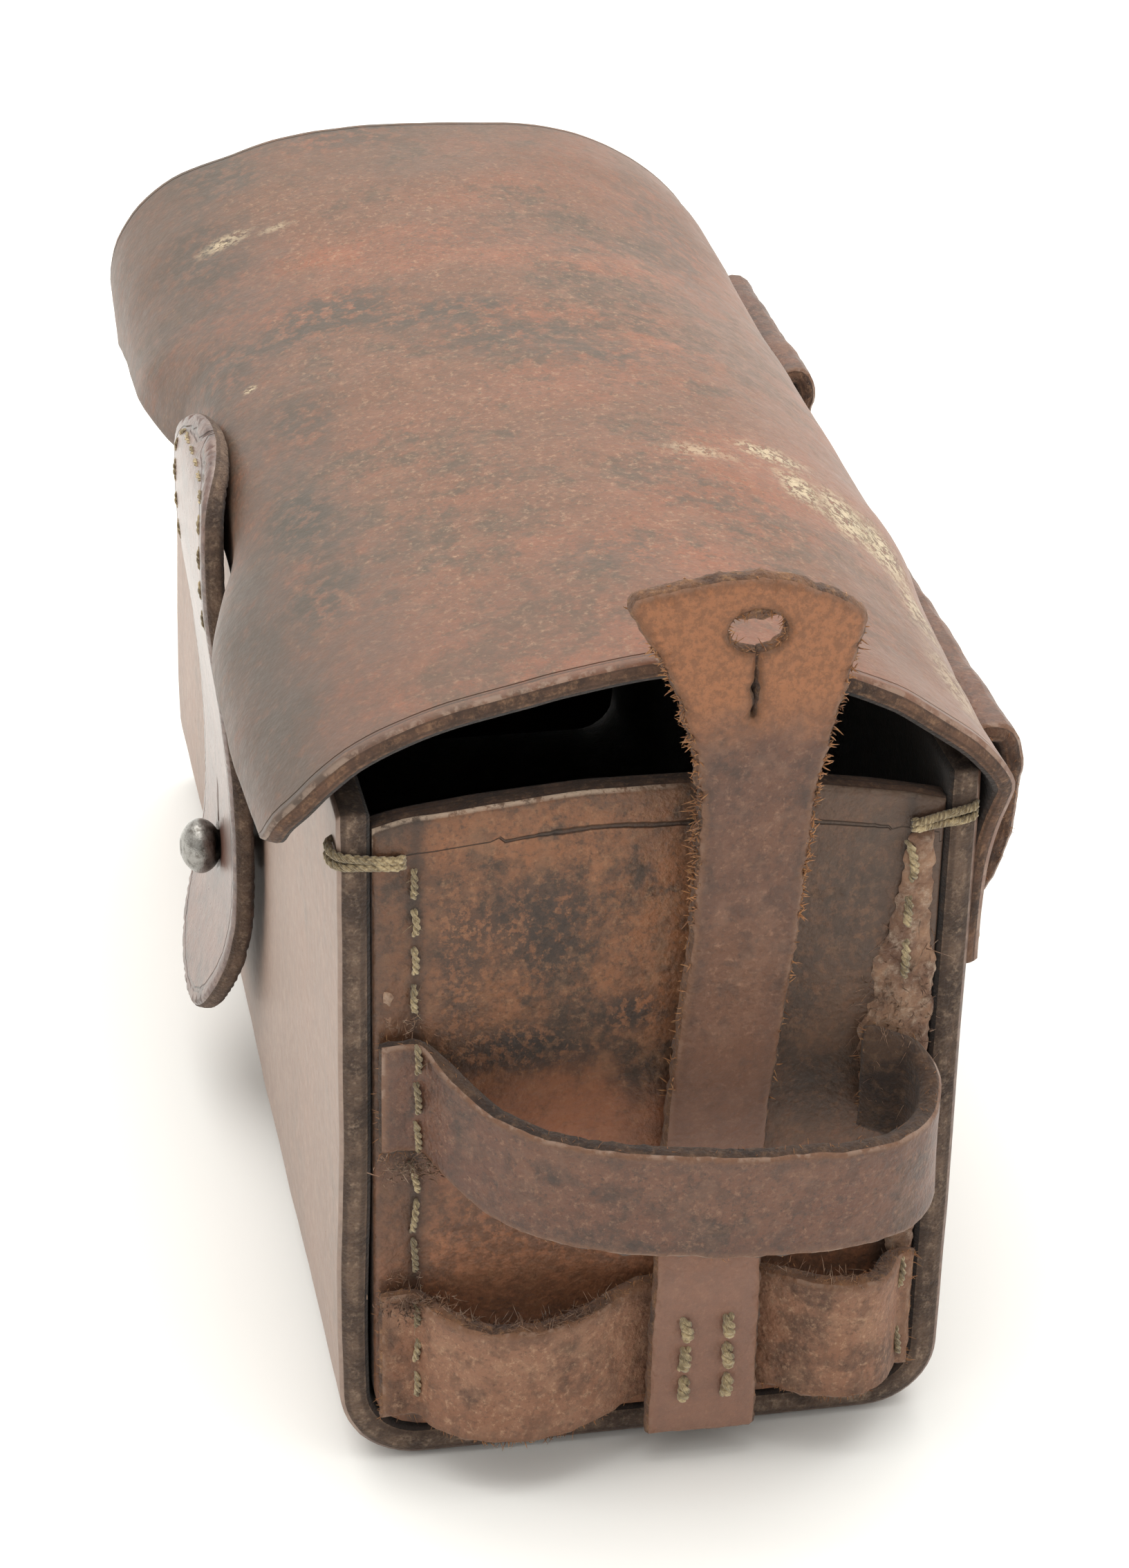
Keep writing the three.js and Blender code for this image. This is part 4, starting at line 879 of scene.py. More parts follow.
FV = stations(172, 1.9)
fx = -96 + 192 * stations(192, 2.0)
outer, inner, ln = [], [], []
for x in fx:
    pr = flap_profile(x)
    # normals of the profile, to set the inner face off by the thickness
    t = np.gradient(pr, axis=0)
    t /= np.linalg.norm(t, axis=1)[:, None]
    nrm = np.stack([-t[:, 1], t[:, 0]], 1)
    outer.append([(x, p[0], p[1]) for p in pr])
    inner.append([(x, p[0] - 2.7 * n_[0], p[1] - 2.7 * n_[1]) for p, n_ in zip(pr, nrm)])
outer, inner = np.array(outer), np.array(inner)
if np.mean(inner[len(fx) // 2, 40:60, 2]) > np.mean(outer[len(fx) // 2, 40:60, 2]):
    inner = 2 * outer - inner
# round the plan outline of the two front corners, the root a little narrower than the flap
s_len = np.cumsum(np.r_[0, np.linalg.norm(np.diff(outer[len(fx) // 2], axis=0), axis=1)])
pull = np.where(s_len < 9, (9 - np.sqrt(np.maximum(0, 81 - (9 - s_len) ** 2))), 0)
pull_root = 3.2 * sstep(s_len[-1] - 34, s_len[-1] - 20, s_len)
for G in (outer, inner):
    for j in range(G.shape[1]):
        k = (96 - (pull[j] * 0.45 + pull_root[j])) / 96
        a = np.abs(G[:, j, 0]) / 96
        G[:, j, 0] *= 1 - (1 - k) * a ** 3
flat = outer.reshape(-1, 3)
nn = outer - inner
nn /= np.linalg.norm(nn, axis=2)[:, :, None]
dis = (nz(flat, 30, 2) * 0.55 + nz(flat, 11, 6) * 0.22 + nz(flat, 4, 12) * 0.07).reshape(outer.shape[:2])
outer = outer + nn * dis[:, :, None]
inner = inner + nn * dis[:, :, None]
ln = np.full(outer.shape[:2], 9.0)
for i, x in enumerate(fx):
    ln[i, :] = (96 - abs(x)) - 1.5
b = Build()
slab(b, outer, inner, 5, 0.25, 0.14, 0.5, 3.7, line=ln)
flap = b.make("flap_sheet", [M["flap"], M["cut"], M["inner"]], None, ["flap", "flap_root"], "flap_leather")
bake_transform(flap)

# ---- closing tab --------------------------------------------------------
TY = np.array([(13.6, -47.2), (14.3, -47.0), (17, -46.3), (22, -44.9), (28, -43.2), (34, -42.0), (40, -41.7), (48, -41.7), (56, -42.0), (66, -42.9), (74, -44.0), (80, -44.7), (85, -44.9), (90, -44.9), (94, -44.6), (96, -44.0), (98, -42.9), (99.6, -41.7), (100.4, -40.9)])
tdz = np.arange(13, 101, 0.5)
tdy = np.interp(tdz, TY[:, 0], TY[:, 1])
kern = np.exp(-np.linspace(-2, 2, 9) ** 2)
tdy[4:-4] = np.convolve(tdy, kern / kern.sum(), "valid")


def tab_map(P2):
    x, z = P2[:, 0], P2[:, 1]
    y = np.interp(z, tdz, tdy)
    s = np.interp(z, tdz, np.gradient(tdy, tdz))
    n = np.stack([np.zeros_like(z), -np.ones_like(z), s], 1)
    n /= np.linalg.norm(n, axis=1)[:, None]
    cup = 0.9 * (x / 18) ** 2 * sstep(80, 60, z)
    return np.stack([x, y - 0.25 + cup * 0.0 - cup * sstep(30, 14, z) * 0.8, z], 1), n


def tab_w(z):
    top = np.clip((z - 87) / 12.95, 0, 1)
    low = np.clip((32.3 - z) / 18.35, 0, 1)
    return 18 * (1 - top ** 2.4) ** (1 / 2.4) * np.sqrt(np.maximum(0, 1 - low ** 2))


zz = np.r_[14.0 + 18.3 * (1 - np.cos(np.linspace(0, math.pi / 2, 24))), np.linspace(34, 86, 30), 87 + 12.9 * np.sin(np.linspace(0, math.pi / 2, 24))]
zz = np.unique(zz)
ol = [(tab_w(z), z) for z in zz] + [(-tab_w(z), z) for z in zz[::-1]]
an = np.linspace(0, 2 * math.pi, 40, endpoint=False)
key = [(2.9 * math.cos(a), 37 + 2.9 * math.sin(a)) for a in an if abs(math.atan2(math.cos(a), math.sin(a))) > 0.16]
hole = [(2.9 * math.sin(a), 37 + 2.9 * math.cos(a)) for a in np.linspace(0.12, 2 * math.pi - 0.12, 40)]
hole = hole + [(-0.32, 46.5), (0.32, 46.5)]
b = Build()
plate(b, [ol, hole], tab_map, 3.0, 1.5, 5, 0.25, 0.08, 0.45, 0.12, seed=4.4,
      lines=lambda P: np.abs(np.minimum.reduce([np.hypot(P[:, 0] - q[0], P[:, 1] - q[1]) for q in ol[::2]])) - 2.2)
tab = b.make("closing_tab", [M["tab"], M["cutdark"], M["flesh"]], None, ["closing_tab_root", "closing_tab_tongue"], "strap_leather")
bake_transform(tab)

# ---- ball stud ----------------------------------------------------------
def lathe(name, prof, body, node, mat, seg=48, dent=0.0, seed=1):
    """prof: (radius, y) from the inside of the case outwards, about the stud's axis."""
    b = Build()
    V, F = [], []
    P = spline([(r, y, 0) for r, y in prof], None)[:, :2] if len(prof) > 30 else np.array(prof, float)
    k = len(P)
    for i, (r, y) in enumerate(P):
        for g in range(seg):
            a = 2 * math.pi * g / seg
            V.append((max(r, 0.02) * math.cos(a), y, 37 + max(r, 0.02) * math.sin(a)))
    for i in range(k - 1):
        for g in range(seg):
            h = (g + 1) % seg
            F.append([i * seg + g, i * seg + h, (i + 1) * seg + h, (i + 1) * seg + g])
    F.append(list(range(seg))[::-1])
    F.append([(k - 1) * seg + g for g in range(seg)])
    V = np.array(V)
    if dent:
        n_ = V - V.mean(0)
        n_ /= np.maximum(np.linalg.norm(n_, axis=1), 1e-6)[:, None]
        V = V + n_ * (nz(V, 1.7, seed) * dent)[:, None]
    b.add(V, F, [0] * len(F))
    return b.make(name, [mat], body, [node], "nickel")


ball = [(0.3, -38.0), (3.2, -38.0), (3.55, -38.15), (3.7, -38.45), (3.55, -38.8), (3.1, -39.1), (2.5, -39.35), (2.0, -39.7), (1.75, -40.2), (1.7, -40.8), (1.75, -41.4), (2.0, -41.9)]
ball += [(3.9 * math.cos(math.radians(a)), -44.6 - 2.9 * math.sin(math.radians(a))) for a in (-58, -50, -40, -30, -20, -10, 0, 10, 20, 30, 40, 50, 60)]
ball += [(1.6, -47.25), (1.2, -47.4), (1.05, -47.25), (0.9, -47.1), (0.4, -47.05)]
lathe("stud_head", ball, "case", "stud_ball", M["nickel"], 48, 0.09)
IN = EY - 3.8
scr = [(0.2, -(IN - 2.75)), (0.9, -(IN - 2.72)), (1.6, -(IN - 2.6)), (2.3, -(IN - 2.35)), (2.8, -(IN - 2.05)), (3.1, -(IN - 1.7)), (3.2, -(IN - 1.4)), (3.0, -(IN - 1.3)), (1.2, -(IN - 1.3)), (1.1, -(IN - 1.0))]
for k in range(9):
    y = -(IN - 0.6) - k * 0.7
    scr += [(1.1, y), (0.9, y - 0.35)]
lathe("stud_fixing_screw", scr, "case", "stud_screw", M["nickel"], 32, 0.03)
ws = [(1.5, -(IN - 1.05)), (1.6, -(IN - 1.12)), (4.7, -(IN - 1.12)), (4.95, -(IN - 1.0)), (5.0, -(IN - 0.7)), (4.95, -(IN - 0.4)), (4.7, -(IN - 0.3)), (1.6, -(IN - 0.3)), (1.5, -(IN - 0.38))]
lathe("stud_back_washer", ws, "case", "stud_washer", M["nickel"], 40, 0.02)

# ---- loops --------------------------------------------------------------
UPPER_LOOP = [(-33.2, 1.7, 53.5, 7.4), (-28.6, 1.8, 53.4, 7.3), (-26.2, 3.4, 52.0, 7.1), (-23.6, 6.2, 50.0, 7.0), (-19.0, 10.6, 47.8, 7.0),
              (-12.0, 14.0, 46.6, 7.0), (-4.5, 16.2, 46.0, 7.0), (4.0, 17.4, 45.5, 7.0), (12.5, 17.8, 45.2, 7.0), (20.5, 17.2, 44.9, 6.9),
              (27.0, 14.8, 44.6, 6.9), (30.6, 11.0, 44.8, 6.9), (32.2, 7.2, 46.0, 6.9), (32.0, 4.2, 47.6, 6.9), (30.6, 2.3, 49.0, 6.9), (28.4, 1.8, 50.0, 6.9), (25.4, 1.7, 51.0, 6.8)]
LOWER_LOOP = [(-33.2, 1.7, 16.4, 9.0), (-28.6, 1.8, 16.2, 9.0), (-26.0, 4.2, 15.6, 8.6), (-21.5, 7.4, 15.4, 8.2), (-15.5, 8.4, 15.6, 8.2),
              (-9.0, 6.6, 15.8, 8.2), (-4.5, 3.6, 16.0, 8.2), (-1.2, 1.8, 16.0, 8.2), (6.0, 1.7, 16.2, 8.2), (13.2, 1.8, 16.4, 8.2),
              (16.2, 3.8, 16.8, 8.3), (19.6, 6.8, 17.2, 8.4), (23.6, 8.0, 17.2, 8.4), (27.4, 6.8, 17.0, 8.4), (29.6, 3.6, 16.8, 8.4), (31.0, 1.9, 16.6, 8.4), (33.2, 1.7, 16.6, 8.4)]


def strip(B, C, Wv, thick0, ragged=0.3, seed=1.0, rough=0.14, bulge=0.3, dis=0.15, soft=0.4, fib=0, fib_len=1.2, sign=1, mats=(0, 1, 2), cup=0.0):
    """A band of leather along centre points C with half-width vectors Wv."""
    k = len(C)
    thick = thick0 if np.isscalar(thick0) else np.asarray(thick0)[:, None]
    wl = np.linalg.norm(Wv, axis=1).mean()
    vs = stations(2 * wl, 1.2) * 2 - 1
    t = np.gradient(C, axis=0)
    t /= np.linalg.norm(t, axis=1)[:, None]
    n = np.cross(t, Wv)
    n /= np.linalg.norm(n, axis=1)[:, None]
    n *= sign
    jag = ragged * (0.6 * nz(C, 3.1, seed) + 0.6 * nz(C, 1.1, seed + 2))
    jag2 = ragged * (0.6 * nz(C, 3.3, seed + 7) + 0.6 * nz(C, 1.2, seed + 9))
    outer, inner = [], []
    for v in vs:
        off = np.where(v > 0, jag * max(v, 0) ** 3, jag2 * min(v, 0) ** 3)
        wu = Wv / np.linalg.norm(Wv, axis=1)[:, None]
        p = C + Wv * v + wu * off[:, None] + n * (cup * (v * v - 0.4))
        outer.append(p + n * thick / 2)
        inner.append(p - n * thick / 2)
    outer, inner = np.array(outer).transpose(1, 0, 2), np.array(inner).transpose(1, 0, 2)
    f = outer.reshape(-1, 3)
    d = (nz(f, 9, seed) * dis + nz(f, 3, seed + 4) * dis * 0.4).reshape(outer.shape[:2])
    nn = n[:, None, :]
    outer = outer + nn * d[:, :, None]
    inner = inner + nn * d[:, :, None] * 0.8
    O, I, out = slab(B, outer, inner, 5, bulge, rough, soft, seed, mats)
    if fib:
        r = np.random.default_rng(int(seed * 10))
        ids = r.choice(len(O), fib)
        tt = r.uniform(0.05, 0.95, fib)[:, None]
        hairs(B, O[ids] * (1 - tt) + I[ids] * tt + out[ids] * 0.1, out[ids], fib_len, 0.06, 3, 0.55, int(seed * 100))
    return outer, inner, n


def loop_piece(name, table, node, sign, fib, seed, ragged=0.35, mats=None):
    T_ = np.array([(EX + r[1], r[0], r[2], r[3]) for r in table], float)
    S = spline(T_, 96)
    Cn = S[:, :3].copy()
    Wv = np.zeros_like(Cn)
    Wv[:, 2] = S[:, 3]
    Cn[:, 0] *= sign
    b = Build()
    low = "lower" in name
    s = np.linspace(0, 1, 96)
    press = 1 - 0.42 * (1 - sstep(0.05, 0.11, s)) - 0.3 * sstep(0.95, 0.99, s)
    flat_ = np.abs(Cn[:, 0]) - EX
    Cn[:, 0] = sign * (EX + np.where(s < 0.15, flat_ - (1 - press) * 1.3, flat_))
    strip(b, Cn, Wv, 2.6 * press, ragged, seed, 0.26, 0.3, 0.2, 0.35, fib, 0.8, 1, cup=0.15)
    r = np.random.default_rng(int(seed * 3))
    zf = 24.2 if low else 44.2
    q = np.stack([sign * (EX + 1.7 + r.uniform(0, 1.2, 170)), r.normal(-29.4, 1.9, 170), r.normal(zf, 0.9, 170)], 1)
    hairs(b, q, np.tile((sign * 0.8, 0.1, 0.5), (170, 1)), 1.3, 0.1, 4, 1.2, int(seed * 25))
    if low:
        r = np.random.default_rng(int(seed * 5))
        yy = np.r_[r.uniform(-27, -6, 260), r.uniform(12, 30, 120)]
        Tb = np.array(table)
        xx = np.interp(yy, Tb[:, 0], Tb[:, 1]) + r.uniform(-1.3, 1.3, len(yy))
        zt = np.interp(yy, Tb[:, 0], Tb[:, 2] + Tb[:, 3])
        q = np.stack([sign * (EX + xx), yy, zt - 0.1], 1)
        hairs(b, q, np.tile((sign * 0.35, 0.2, 0.75), (len(yy), 1)), 1.7, 0.075, 4, 0.8, int(seed * 21))
        zb = np.interp(yy, Tb[:, 0], Tb[:, 2] - Tb[:, 3])
        q = np.stack([sign * (EX + xx), yy, zb + 0.2], 1)
        hairs(b, q, np.tile((sign * 0.5, 0.1, -0.6), (len(yy), 1)), 0.9, 0.09, 3, 0.7, int(seed * 23))
    if not low:
        # the far sewn end is torn, with pale fibre standing out
        r = np.random.default_rng(int(seed * 3))
        q = np.stack([sign * (EX + r.uniform(0.2, 3.4, 90)), r.uniform(26, 33.5, 90), r.uniform(45, 60, 90)], 1)
        hairs(b, q, np.tile((sign * 0.7, 0, 0.4), (90, 1)), 1.8, 0.07, 4, 0.9, int(seed * 9))
    return b.make(name, mats or [M["lowband"] if low else M["band"], M["fringe"] if low else M["flesh"], M["flesh"], M["fibre"], M["torn"]], "case", [node], "strap_leather")


for sgn, pre in ((1, "right"), (-1, "left")):
    loop_piece(pre + "_upper_band", UPPER_LOOP, pre + "_upper_loop", sgn, 220, 5.0 + sgn)
    loop_piece(pre + "_lower_band", LOWER_LOOP, pre + "_lower_loop", sgn, 520, 8.0 + sgn, 0.55)

# ---- end straps ---------------------------------------------------------
OFF = np.array([(2, 3.7), (27, 3.7), (31, 2.4), (35, 1.0), (41, 0.6), (50, 0.7), (62.3, 1.7), (75, 3.0), (86, 4.1), (122, 6.0)])
odz = np.arange(2, 123, 0.5)
odx = np.interp(odz, OFF[:, 0], OFF[:, 1])
kern = np.exp(-np.linspace(-2, 2, 13) ** 2)
odx[6:-6] = np.convolve(odx, kern / kern.sum(), "valid")
odx = np.maximum(odx, np.where(odz < 26, 3.55, 0.35))
SIDE_L = [(-0.5, 3.9), (-0.4, 20), (0.2, 31), (0.6, 35), (1.0, 41), (1.5, 50), (2.1, 62.3), (2.9, 75), (2.8, 86), (2.7, 92), (2.4, 97), (1.2, 102.2), (-0.4, 107), (-2.4, 111.4), (-4.8, 115), (-6.1, 117.6)]
TOP_H = [(-5.6, 119.0), (-3.4, 119.7), (-0.5, 120.4), (4.2, 121.3), (8.2, 121.5), (12.4, 120.5), (17.0, 118.2), (20.2, 115.9), (21.0, 114.6)]
SIDE_R = [(19.9, 111.4), (18.7, 107), (17.5, 102.2), (16.5, 97), (15.9, 92), (15.5, 86), (15.2, 75), (14.3, 62.3), (13.4, 50), (13.0, 41), (12.8, 35), (12.6, 31), (12.7, 20), (12.7, 3.9)]
EYE = [(8.1 + 3.5 * math.sin(a), 114.7 + 2.8 * math.cos(a)) for a in np.linspace(math.pi + 0.09, 3 * math.pi - 0.09, 36)]
EYE = EYE + [(8.45, 108.5), (8.4, 103.8), (8.0, 103.6), (7.75, 104.2), (7.85, 108.5)]
# centre line of the folded strap: distance out from the panel, height, by length
lead = np.array([(np.interp(s, odz, odx) + 1.4, s) for s in np.arange(2, 55.5, 1.0)])
foldp = np.array([(2.9, 56), (4.0, 61), (6.6, 66), (11.0, 68.8), (16.0, 68.4), (20.0, 65.4), (21.8, 61.4)])
hang = np.array([(21.8 + (61.4 - z) * 0.02, z) for z in np.arange(59.5, 22, -2.0)])
cl = spline(np.vstack([lead, foldp, hang]), None)
cs = np.r_[0, np.cumsum(np.linalg.norm(np.diff(cl, axis=0), axis=1))]
k56 = np.argmin(np.hypot(cl[:, 0] - 2.9, cl[:, 1] - 56))
cs = cs - cs[k56] + 56.0
ct = np.gradient(cl, axis=0)
ct /= np.linalg.norm(ct, axis=1)[:, None]


def map_right(P2):
    y, z = P2[:, 0], P2[:, 1]
    s = np.interp(z, odz, np.gradient(odx, odz))
    n = np.stack([np.ones_like(z), np.zeros_like(z), -s], 1)
    n /= np.linalg.norm(n, axis=1)[:, None]
    x = EX + np.interp(z, odz, odx) + 2.8
    hd = sstep(100, 116, z)
    x = x - hd * 0.02 * (y - 8) ** 2 * 0.35 + nz(np.c_[P2, np.zeros(len(P2))], 9, 2) * 0.18
    return np.stack([x, y, z], 1), n


def map_left(P2):
    y, s = P2[:, 0], P2[:, 1]
    o = np.interp(s, cs, cl[:, 0])
    z = np.interp(s, cs, cl[:, 1])
    a = np.interp(s, cs, ct[:, 0])
    c = np.interp(s, cs, ct[:, 1])
    l = np.hypot(a, c)
    n = np.stack([-c / l, np.zeros_like(z), -a / l], 1)
    return np.stack([-(EX + o), y, z], 1) + n * 1.4, n


def rag(lp):
    return 0.3 + 0.7 * sstep(60, 84, lp[:, 1]) * sstep(113, 108, lp[:, 1])


def strap_piece(name, fmap, seed):
    b = Build()
    top = TOP_H
    ol = SIDE_L + top + SIDE_R
    res = plate(b, [ol, EYE], fmap, 2.8, 1.5, 5, 0.3, 0.28, 0.4, 0.55, rag, seed)
    # frayed sides on the upper half, and fibre round the eye
    L = resample(np.array(ol), 0.5)
    r = np.random.default_rng(int(seed * 7))
    sel = [p for p in L if (p[1] > 76 and p[1] < 113)] * 6 + [p for p in L if 50 < p[1] <= 74] + [p for p in L if p[1] >= 117][::3]
    sel = np.array(sel)
    pos, nrm = fmap(sel)
    q, _ = fmap(sel + np.stack([np.where(sel[:, 0] < 8, -0.3, 0.3), np.zeros(len(sel))], 1))
    out = q - pos
    out /= np.maximum(np.linalg.norm(out, axis=1), 1e-6)[:, None]
    hairs(b, pos - nrm * r.uniform(0.2, 2.6, len(sel))[:, None], out, 1.0, 0.13, 3, 0.85, int(seed * 31))
    # a torn scrap of leather still hangs in the top of the eye
    scrap = [(5.4, 116.4), (6.4, 117.3), (8.1, 117.8), (10.0, 117.2), (10.8, 116.2), (9.8, 115.9), (8.9, 115.5), (7.9, 115.9), (6.9, 115.6), (6.0, 116.0)]

    def deeper(P2):
        a_, n_ = fmap(P2)
        return a_ - n_ * (0.5 + 0.9 * sstep(117.5, 115.2, P2[:, 1]))[:, None], n_

    plate(b, [scrap], deeper, 1.3, 0.7, 3, 0.15, 0.12, 0.2, 0.2, None, seed + 2, mats=(1, 1, 1), hole_step=0.4)
    e = np.array(EYE)[:36:2]
    pos, nrm = fmap(e)
    cen, _ = fmap(np.array([[8.1, 114.9]]))
    d = cen - pos
    d /= np.linalg.norm(d, axis=1)[:, None]
    hairs(b, np.repeat(pos - nrm * 0.8, 6, 0), np.repeat(d, 6, 0), 1.1, 0.09, 3, 0.9, int(seed * 17))
    return b


b = strap_piece("r", map_right, 6.0)
rs = b.make("right_end_strap", [M["endstrap"], M["fringe"], M["flesh"], M["fibre"]], None, ["right_strap_lower", "right_strap_upper"], "strap_leather")
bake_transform(rs)
b = strap_piece("l", map_left, 7.0)
ls = b.make("left_end_strap", [M["strap"], M["fringe"], M["flesh"], M["fibre"]], None, ["left_strap_lower", "left_strap_upper"], "strap_leather")
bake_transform(ls)

# ---- belt loops ---------------------------------------------------------
BELT = [(43.3, 70.6), (43.3, 75.0), (44.3, 79.2), (46.2, 82.0), (48.6, 82.2), (50.1, 79.4), (50.2, 73.0), (49.2, 66.5), (46.8, 61.0), (43.1, 56.6), (40.5, 53.2), (39.75, 49.5), (39.7, 44.5)]
for sgn, pre in ((1, "right"), (-1, "left")):
    P = spline([(0, y, z) for y, z in BELT], 66)
    Cn = P.copy()
    Cn[:, 0] = 34 if sgn > 0 else -71
    if sgn < 0:
        Cn[:, 1] += 4.2 * sstep(76, 81, Cn[:, 2]) + 3.0 * sstep(56, 72, Cn[:, 2]) * sstep(45, 47.5, Cn[:, 1]) * (1 - sstep(76, 81, Cn[:, 2]))
    Wv = np.zeros_like(Cn)
    Wv[:, 0] = 35 if sgn > 0 else 21
    b = Build()
    strip(b, Cn, Wv, 2.6, 0.9, 11.0 + sgn, 0.3, 0.2, 0.5, 0.4, 160, 0.9, -1, cup=0.0)
    b.make(pre + "_belt_band", [M["band"], M["cut"], M["flesh"], M["fibre"]], "case", [pre + "_belt_loop"], "strap_leather")

# ---- stitching ----------------------------------------------------------
def row(B, pts, nrm, pitch, gap=0.25, high=0.6, r=0.42, seed=0, skip=(), loose=0.0):
    """Separate stitches along a polyline."""
    P = np.asarray(pts, float)
    N = np.asarray(nrm, float)
    s = np.r_[0, np.cumsum(np.linalg.norm(np.diff(P, axis=0), axis=1))]
    k = max(1, int(round(s[-1] / pitch)))
    g = np.random.default_rng(seed)
    for i in range(k):
        if i in skip:
            continue
        a, c = i * s[-1] / k, (i + 1) * s[-1] / k
        ga = gap * pitch * (0.6 + 0.5 * g.random())
        at = lambda q: np.array([np.interp(q, s, P[:, j]) for j in range(3)])
        an_ = lambda q: np.array([np.interp(q, s, N[:, j]) for j in range(3)])
        jit = g.normal(0, 0.18, 3)
        stitch(B, at(a + ga / 2) + jit * (1 - np.abs(an_(a))), at(c - ga / 2) - jit * (1 - np.abs(an_(a))), an_((a + c) / 2), high, r, seed * 50 + i, loose=loose if g.random() < 0.4 else 0)


def lock(B, pts, nrm, seed):
    """Two thick turns of thread over a corner."""
    P = spline(pts, 26)
    N = spline(nrm, 26)
    N /= np.linalg.norm(N, axis=1)[:, None]
    t = np.linspace(0, 1, 26)
    side = np.array([0, 0, 1.0])
    for q, o in ((0, 0.62), (1, -0.62)):
        core = P + N * (0.45 - 0.9 * np.clip(np.abs(t - 0.5) * 2 - 0.85, 0, 1) * 5)[:, None] + side * o * (0.85 + 0.25 * np.sin(5 * t + q))[:, None]
        for k in range(3):
            ph = 2 * math.pi * k / 3 + t * 26
            tube(B, core + side * (0.3 * np.cos(ph))[:, None] + N * (0.3 * np.sin(ph))[:, None], 0.3, 6, 0)


X0 = [1, 0, 0]
for sgn, pre in ((1, "right"), (-1, "left")):
    def fl(P):
        return [(sgn * p[0], p[1], p[2]) for p in P]
    up = (sgn, 0, 0)
    b = Build()
    lock(b, fl([(EX - 4.2, -EY - 0.2, 85.4), (EX - 1.2, -EY - 0.25, 85.4), (EX + 0.2, -EY + 0.6, 85.3), (EX + 0.35, -34.5, 85.0), (EX + 0.2, -30.2, 84.6)]),
         [(0, -1, 0), (0.3 * sgn, -1, 0), (sgn, -0.6, 0), up, up], 1)
    row(b, fl([(EX, -29.2, 84), (EX, -29, 63.5)]), [up, up], 5.2, 0.3, 0.55, 0.42, 3, (), 1.5)
    row(b, fl([(EX + 1.9, -29, 61.5), (EX + 1.9, -29, 45.5)]), [up, up], 5.0, 0.3, 0.5, 0.42, 5, (), 1.3)
    row(b, fl([(EX, -29, 44), (EX, -29, 27)]), [up, up], 5.0, 0.3, 0.55, 0.42, 6, (), 1.4)
    row(b, fl([(EX + 1.9, -29, 25), (EX + 1.9, -29, 9.5)]), [up, up], 5.0, 0.3, 0.5, 0.42, 7, (), 1.3)
    b.make(pre + "_front_stitches", [M["thread"]], "case", [pre + "_front_seam_thread"], "thread")
    b = Build()
    lock(b, fl([(EX + 0.2, EY - 0.3, 86.0), (EX + 0.3, 35.5, 85.4), (EX + 0.3, 32.4, 84.9), (EX + 0.2, 30.0, 84.4)]), [up, up, up, up], 2)
    row(b, fl([(EX, 30, 82.6), (EX, 30, 63)]), [up, up], 5.6, 0.24, 0.95, 0.55, 9, (), 1.6)
    b.make(pre + "_back_stitches_upper", [M["thread"]], "case", [pre + "_back_seam_thread_upper"], "thread")
    b = Build()
    row(b, fl([(EX, 31.8, 36), (EX, 31.8, 27.4)]), [up, up], 4.6, 0.3, 0.55, 0.42, 11)
    row(b, fl([(EX + 3.0, 31.6, 25), (EX + 3.0, 31.8, 9.5)]), [up, up], 5.2, 0.3, 0.5, 0.42, 12, (1,))
    b.make(pre + "_back_stitches_lower", [M["thread"]], "case", [pre + "_back_seam_thread_lower"], "thread")
    b = Build()
    row(b, fl([(EX, -25, 5.8), (EX, 25, 5.8)]), [up, up], 5.0, 0.3, 0.45, 0.38, 13)
    b.make(pre + "_bottom_stitches", [M["thread"]], "case", [pre + "_bottom_seam_thread"], "thread")
    tx = EX + 3.65 + 2.8
    for y, nm, sd in ((3.5, "front", 15), (9.0, "back", 17)):
        b = Build()
        row(b, fl([(tx, y, 22.0), (tx, y, 8.6)]), [up, up], 4.5, 0.22, 0.9, 0.72, sd, (), 1.2)
        b.make(pre + "_tab_stitches_" + nm, [M["thread"]], "case", [pre + "_strap_thread_" + nm], "thread")
    for z, y, nm, sd in ((73, 44.6, "upper", 21), (47.2, 41.05, "lower", 23)):
        b = Build()
        row(b, fl([(2 if sgn > 0 else 53, y, z), (66 if sgn > 0 else 89, y, z)]), [(0, 1, 0), (0, 1, 0)], 5.1, 0.25, 0.6, 0.42, sd)
        b.make(pre + "_belt_stitches_" + nm, [M["thread"]], "case", [pre + "_belt_loop_thread_" + nm], "thread")
b = Build()
row(b, [(-90, 41.4, 61.2), (0, 41.4, 61.2), (70, 41.2, 61.6), (80, 40.8, 62.6), (90, 40.0, 66.0)], [(0, 1, 0)] * 5, 5.2, 0.25, 0.6, 0.42, 31)
b.make("flap_seam_stitches", [M["thread"]], "case", ["flap_seam_thread"], "thread")
pts, nr = [], []
for z in (77, 82, 87, 90, 92.5, 94.2):
    pts.append((-(float(tab_w(z)) - 3), float(np.interp(z, tdz, tdy)) - 0.2, z))
for x in (-9, -4.5, 0, 4.5, 9):
    pts.append((x, float(np.interp(96.2, tdz, tdy)) - 0.2, 96.2))
pts += [(-p[0], p[1], p[2]) for p in pts[:6][::-1]]
for p in pts:
    nr.append((0, -1, 0.5 if p[2] > 95 else 0.05))
b = Build()
row(b, pts, nr, 4.6, 0.25, 0.12, 0.3, 33)
b.make("closing_tab_stitches", [M["thread"]], "flap", ["closing_tab_thread"], "thread")

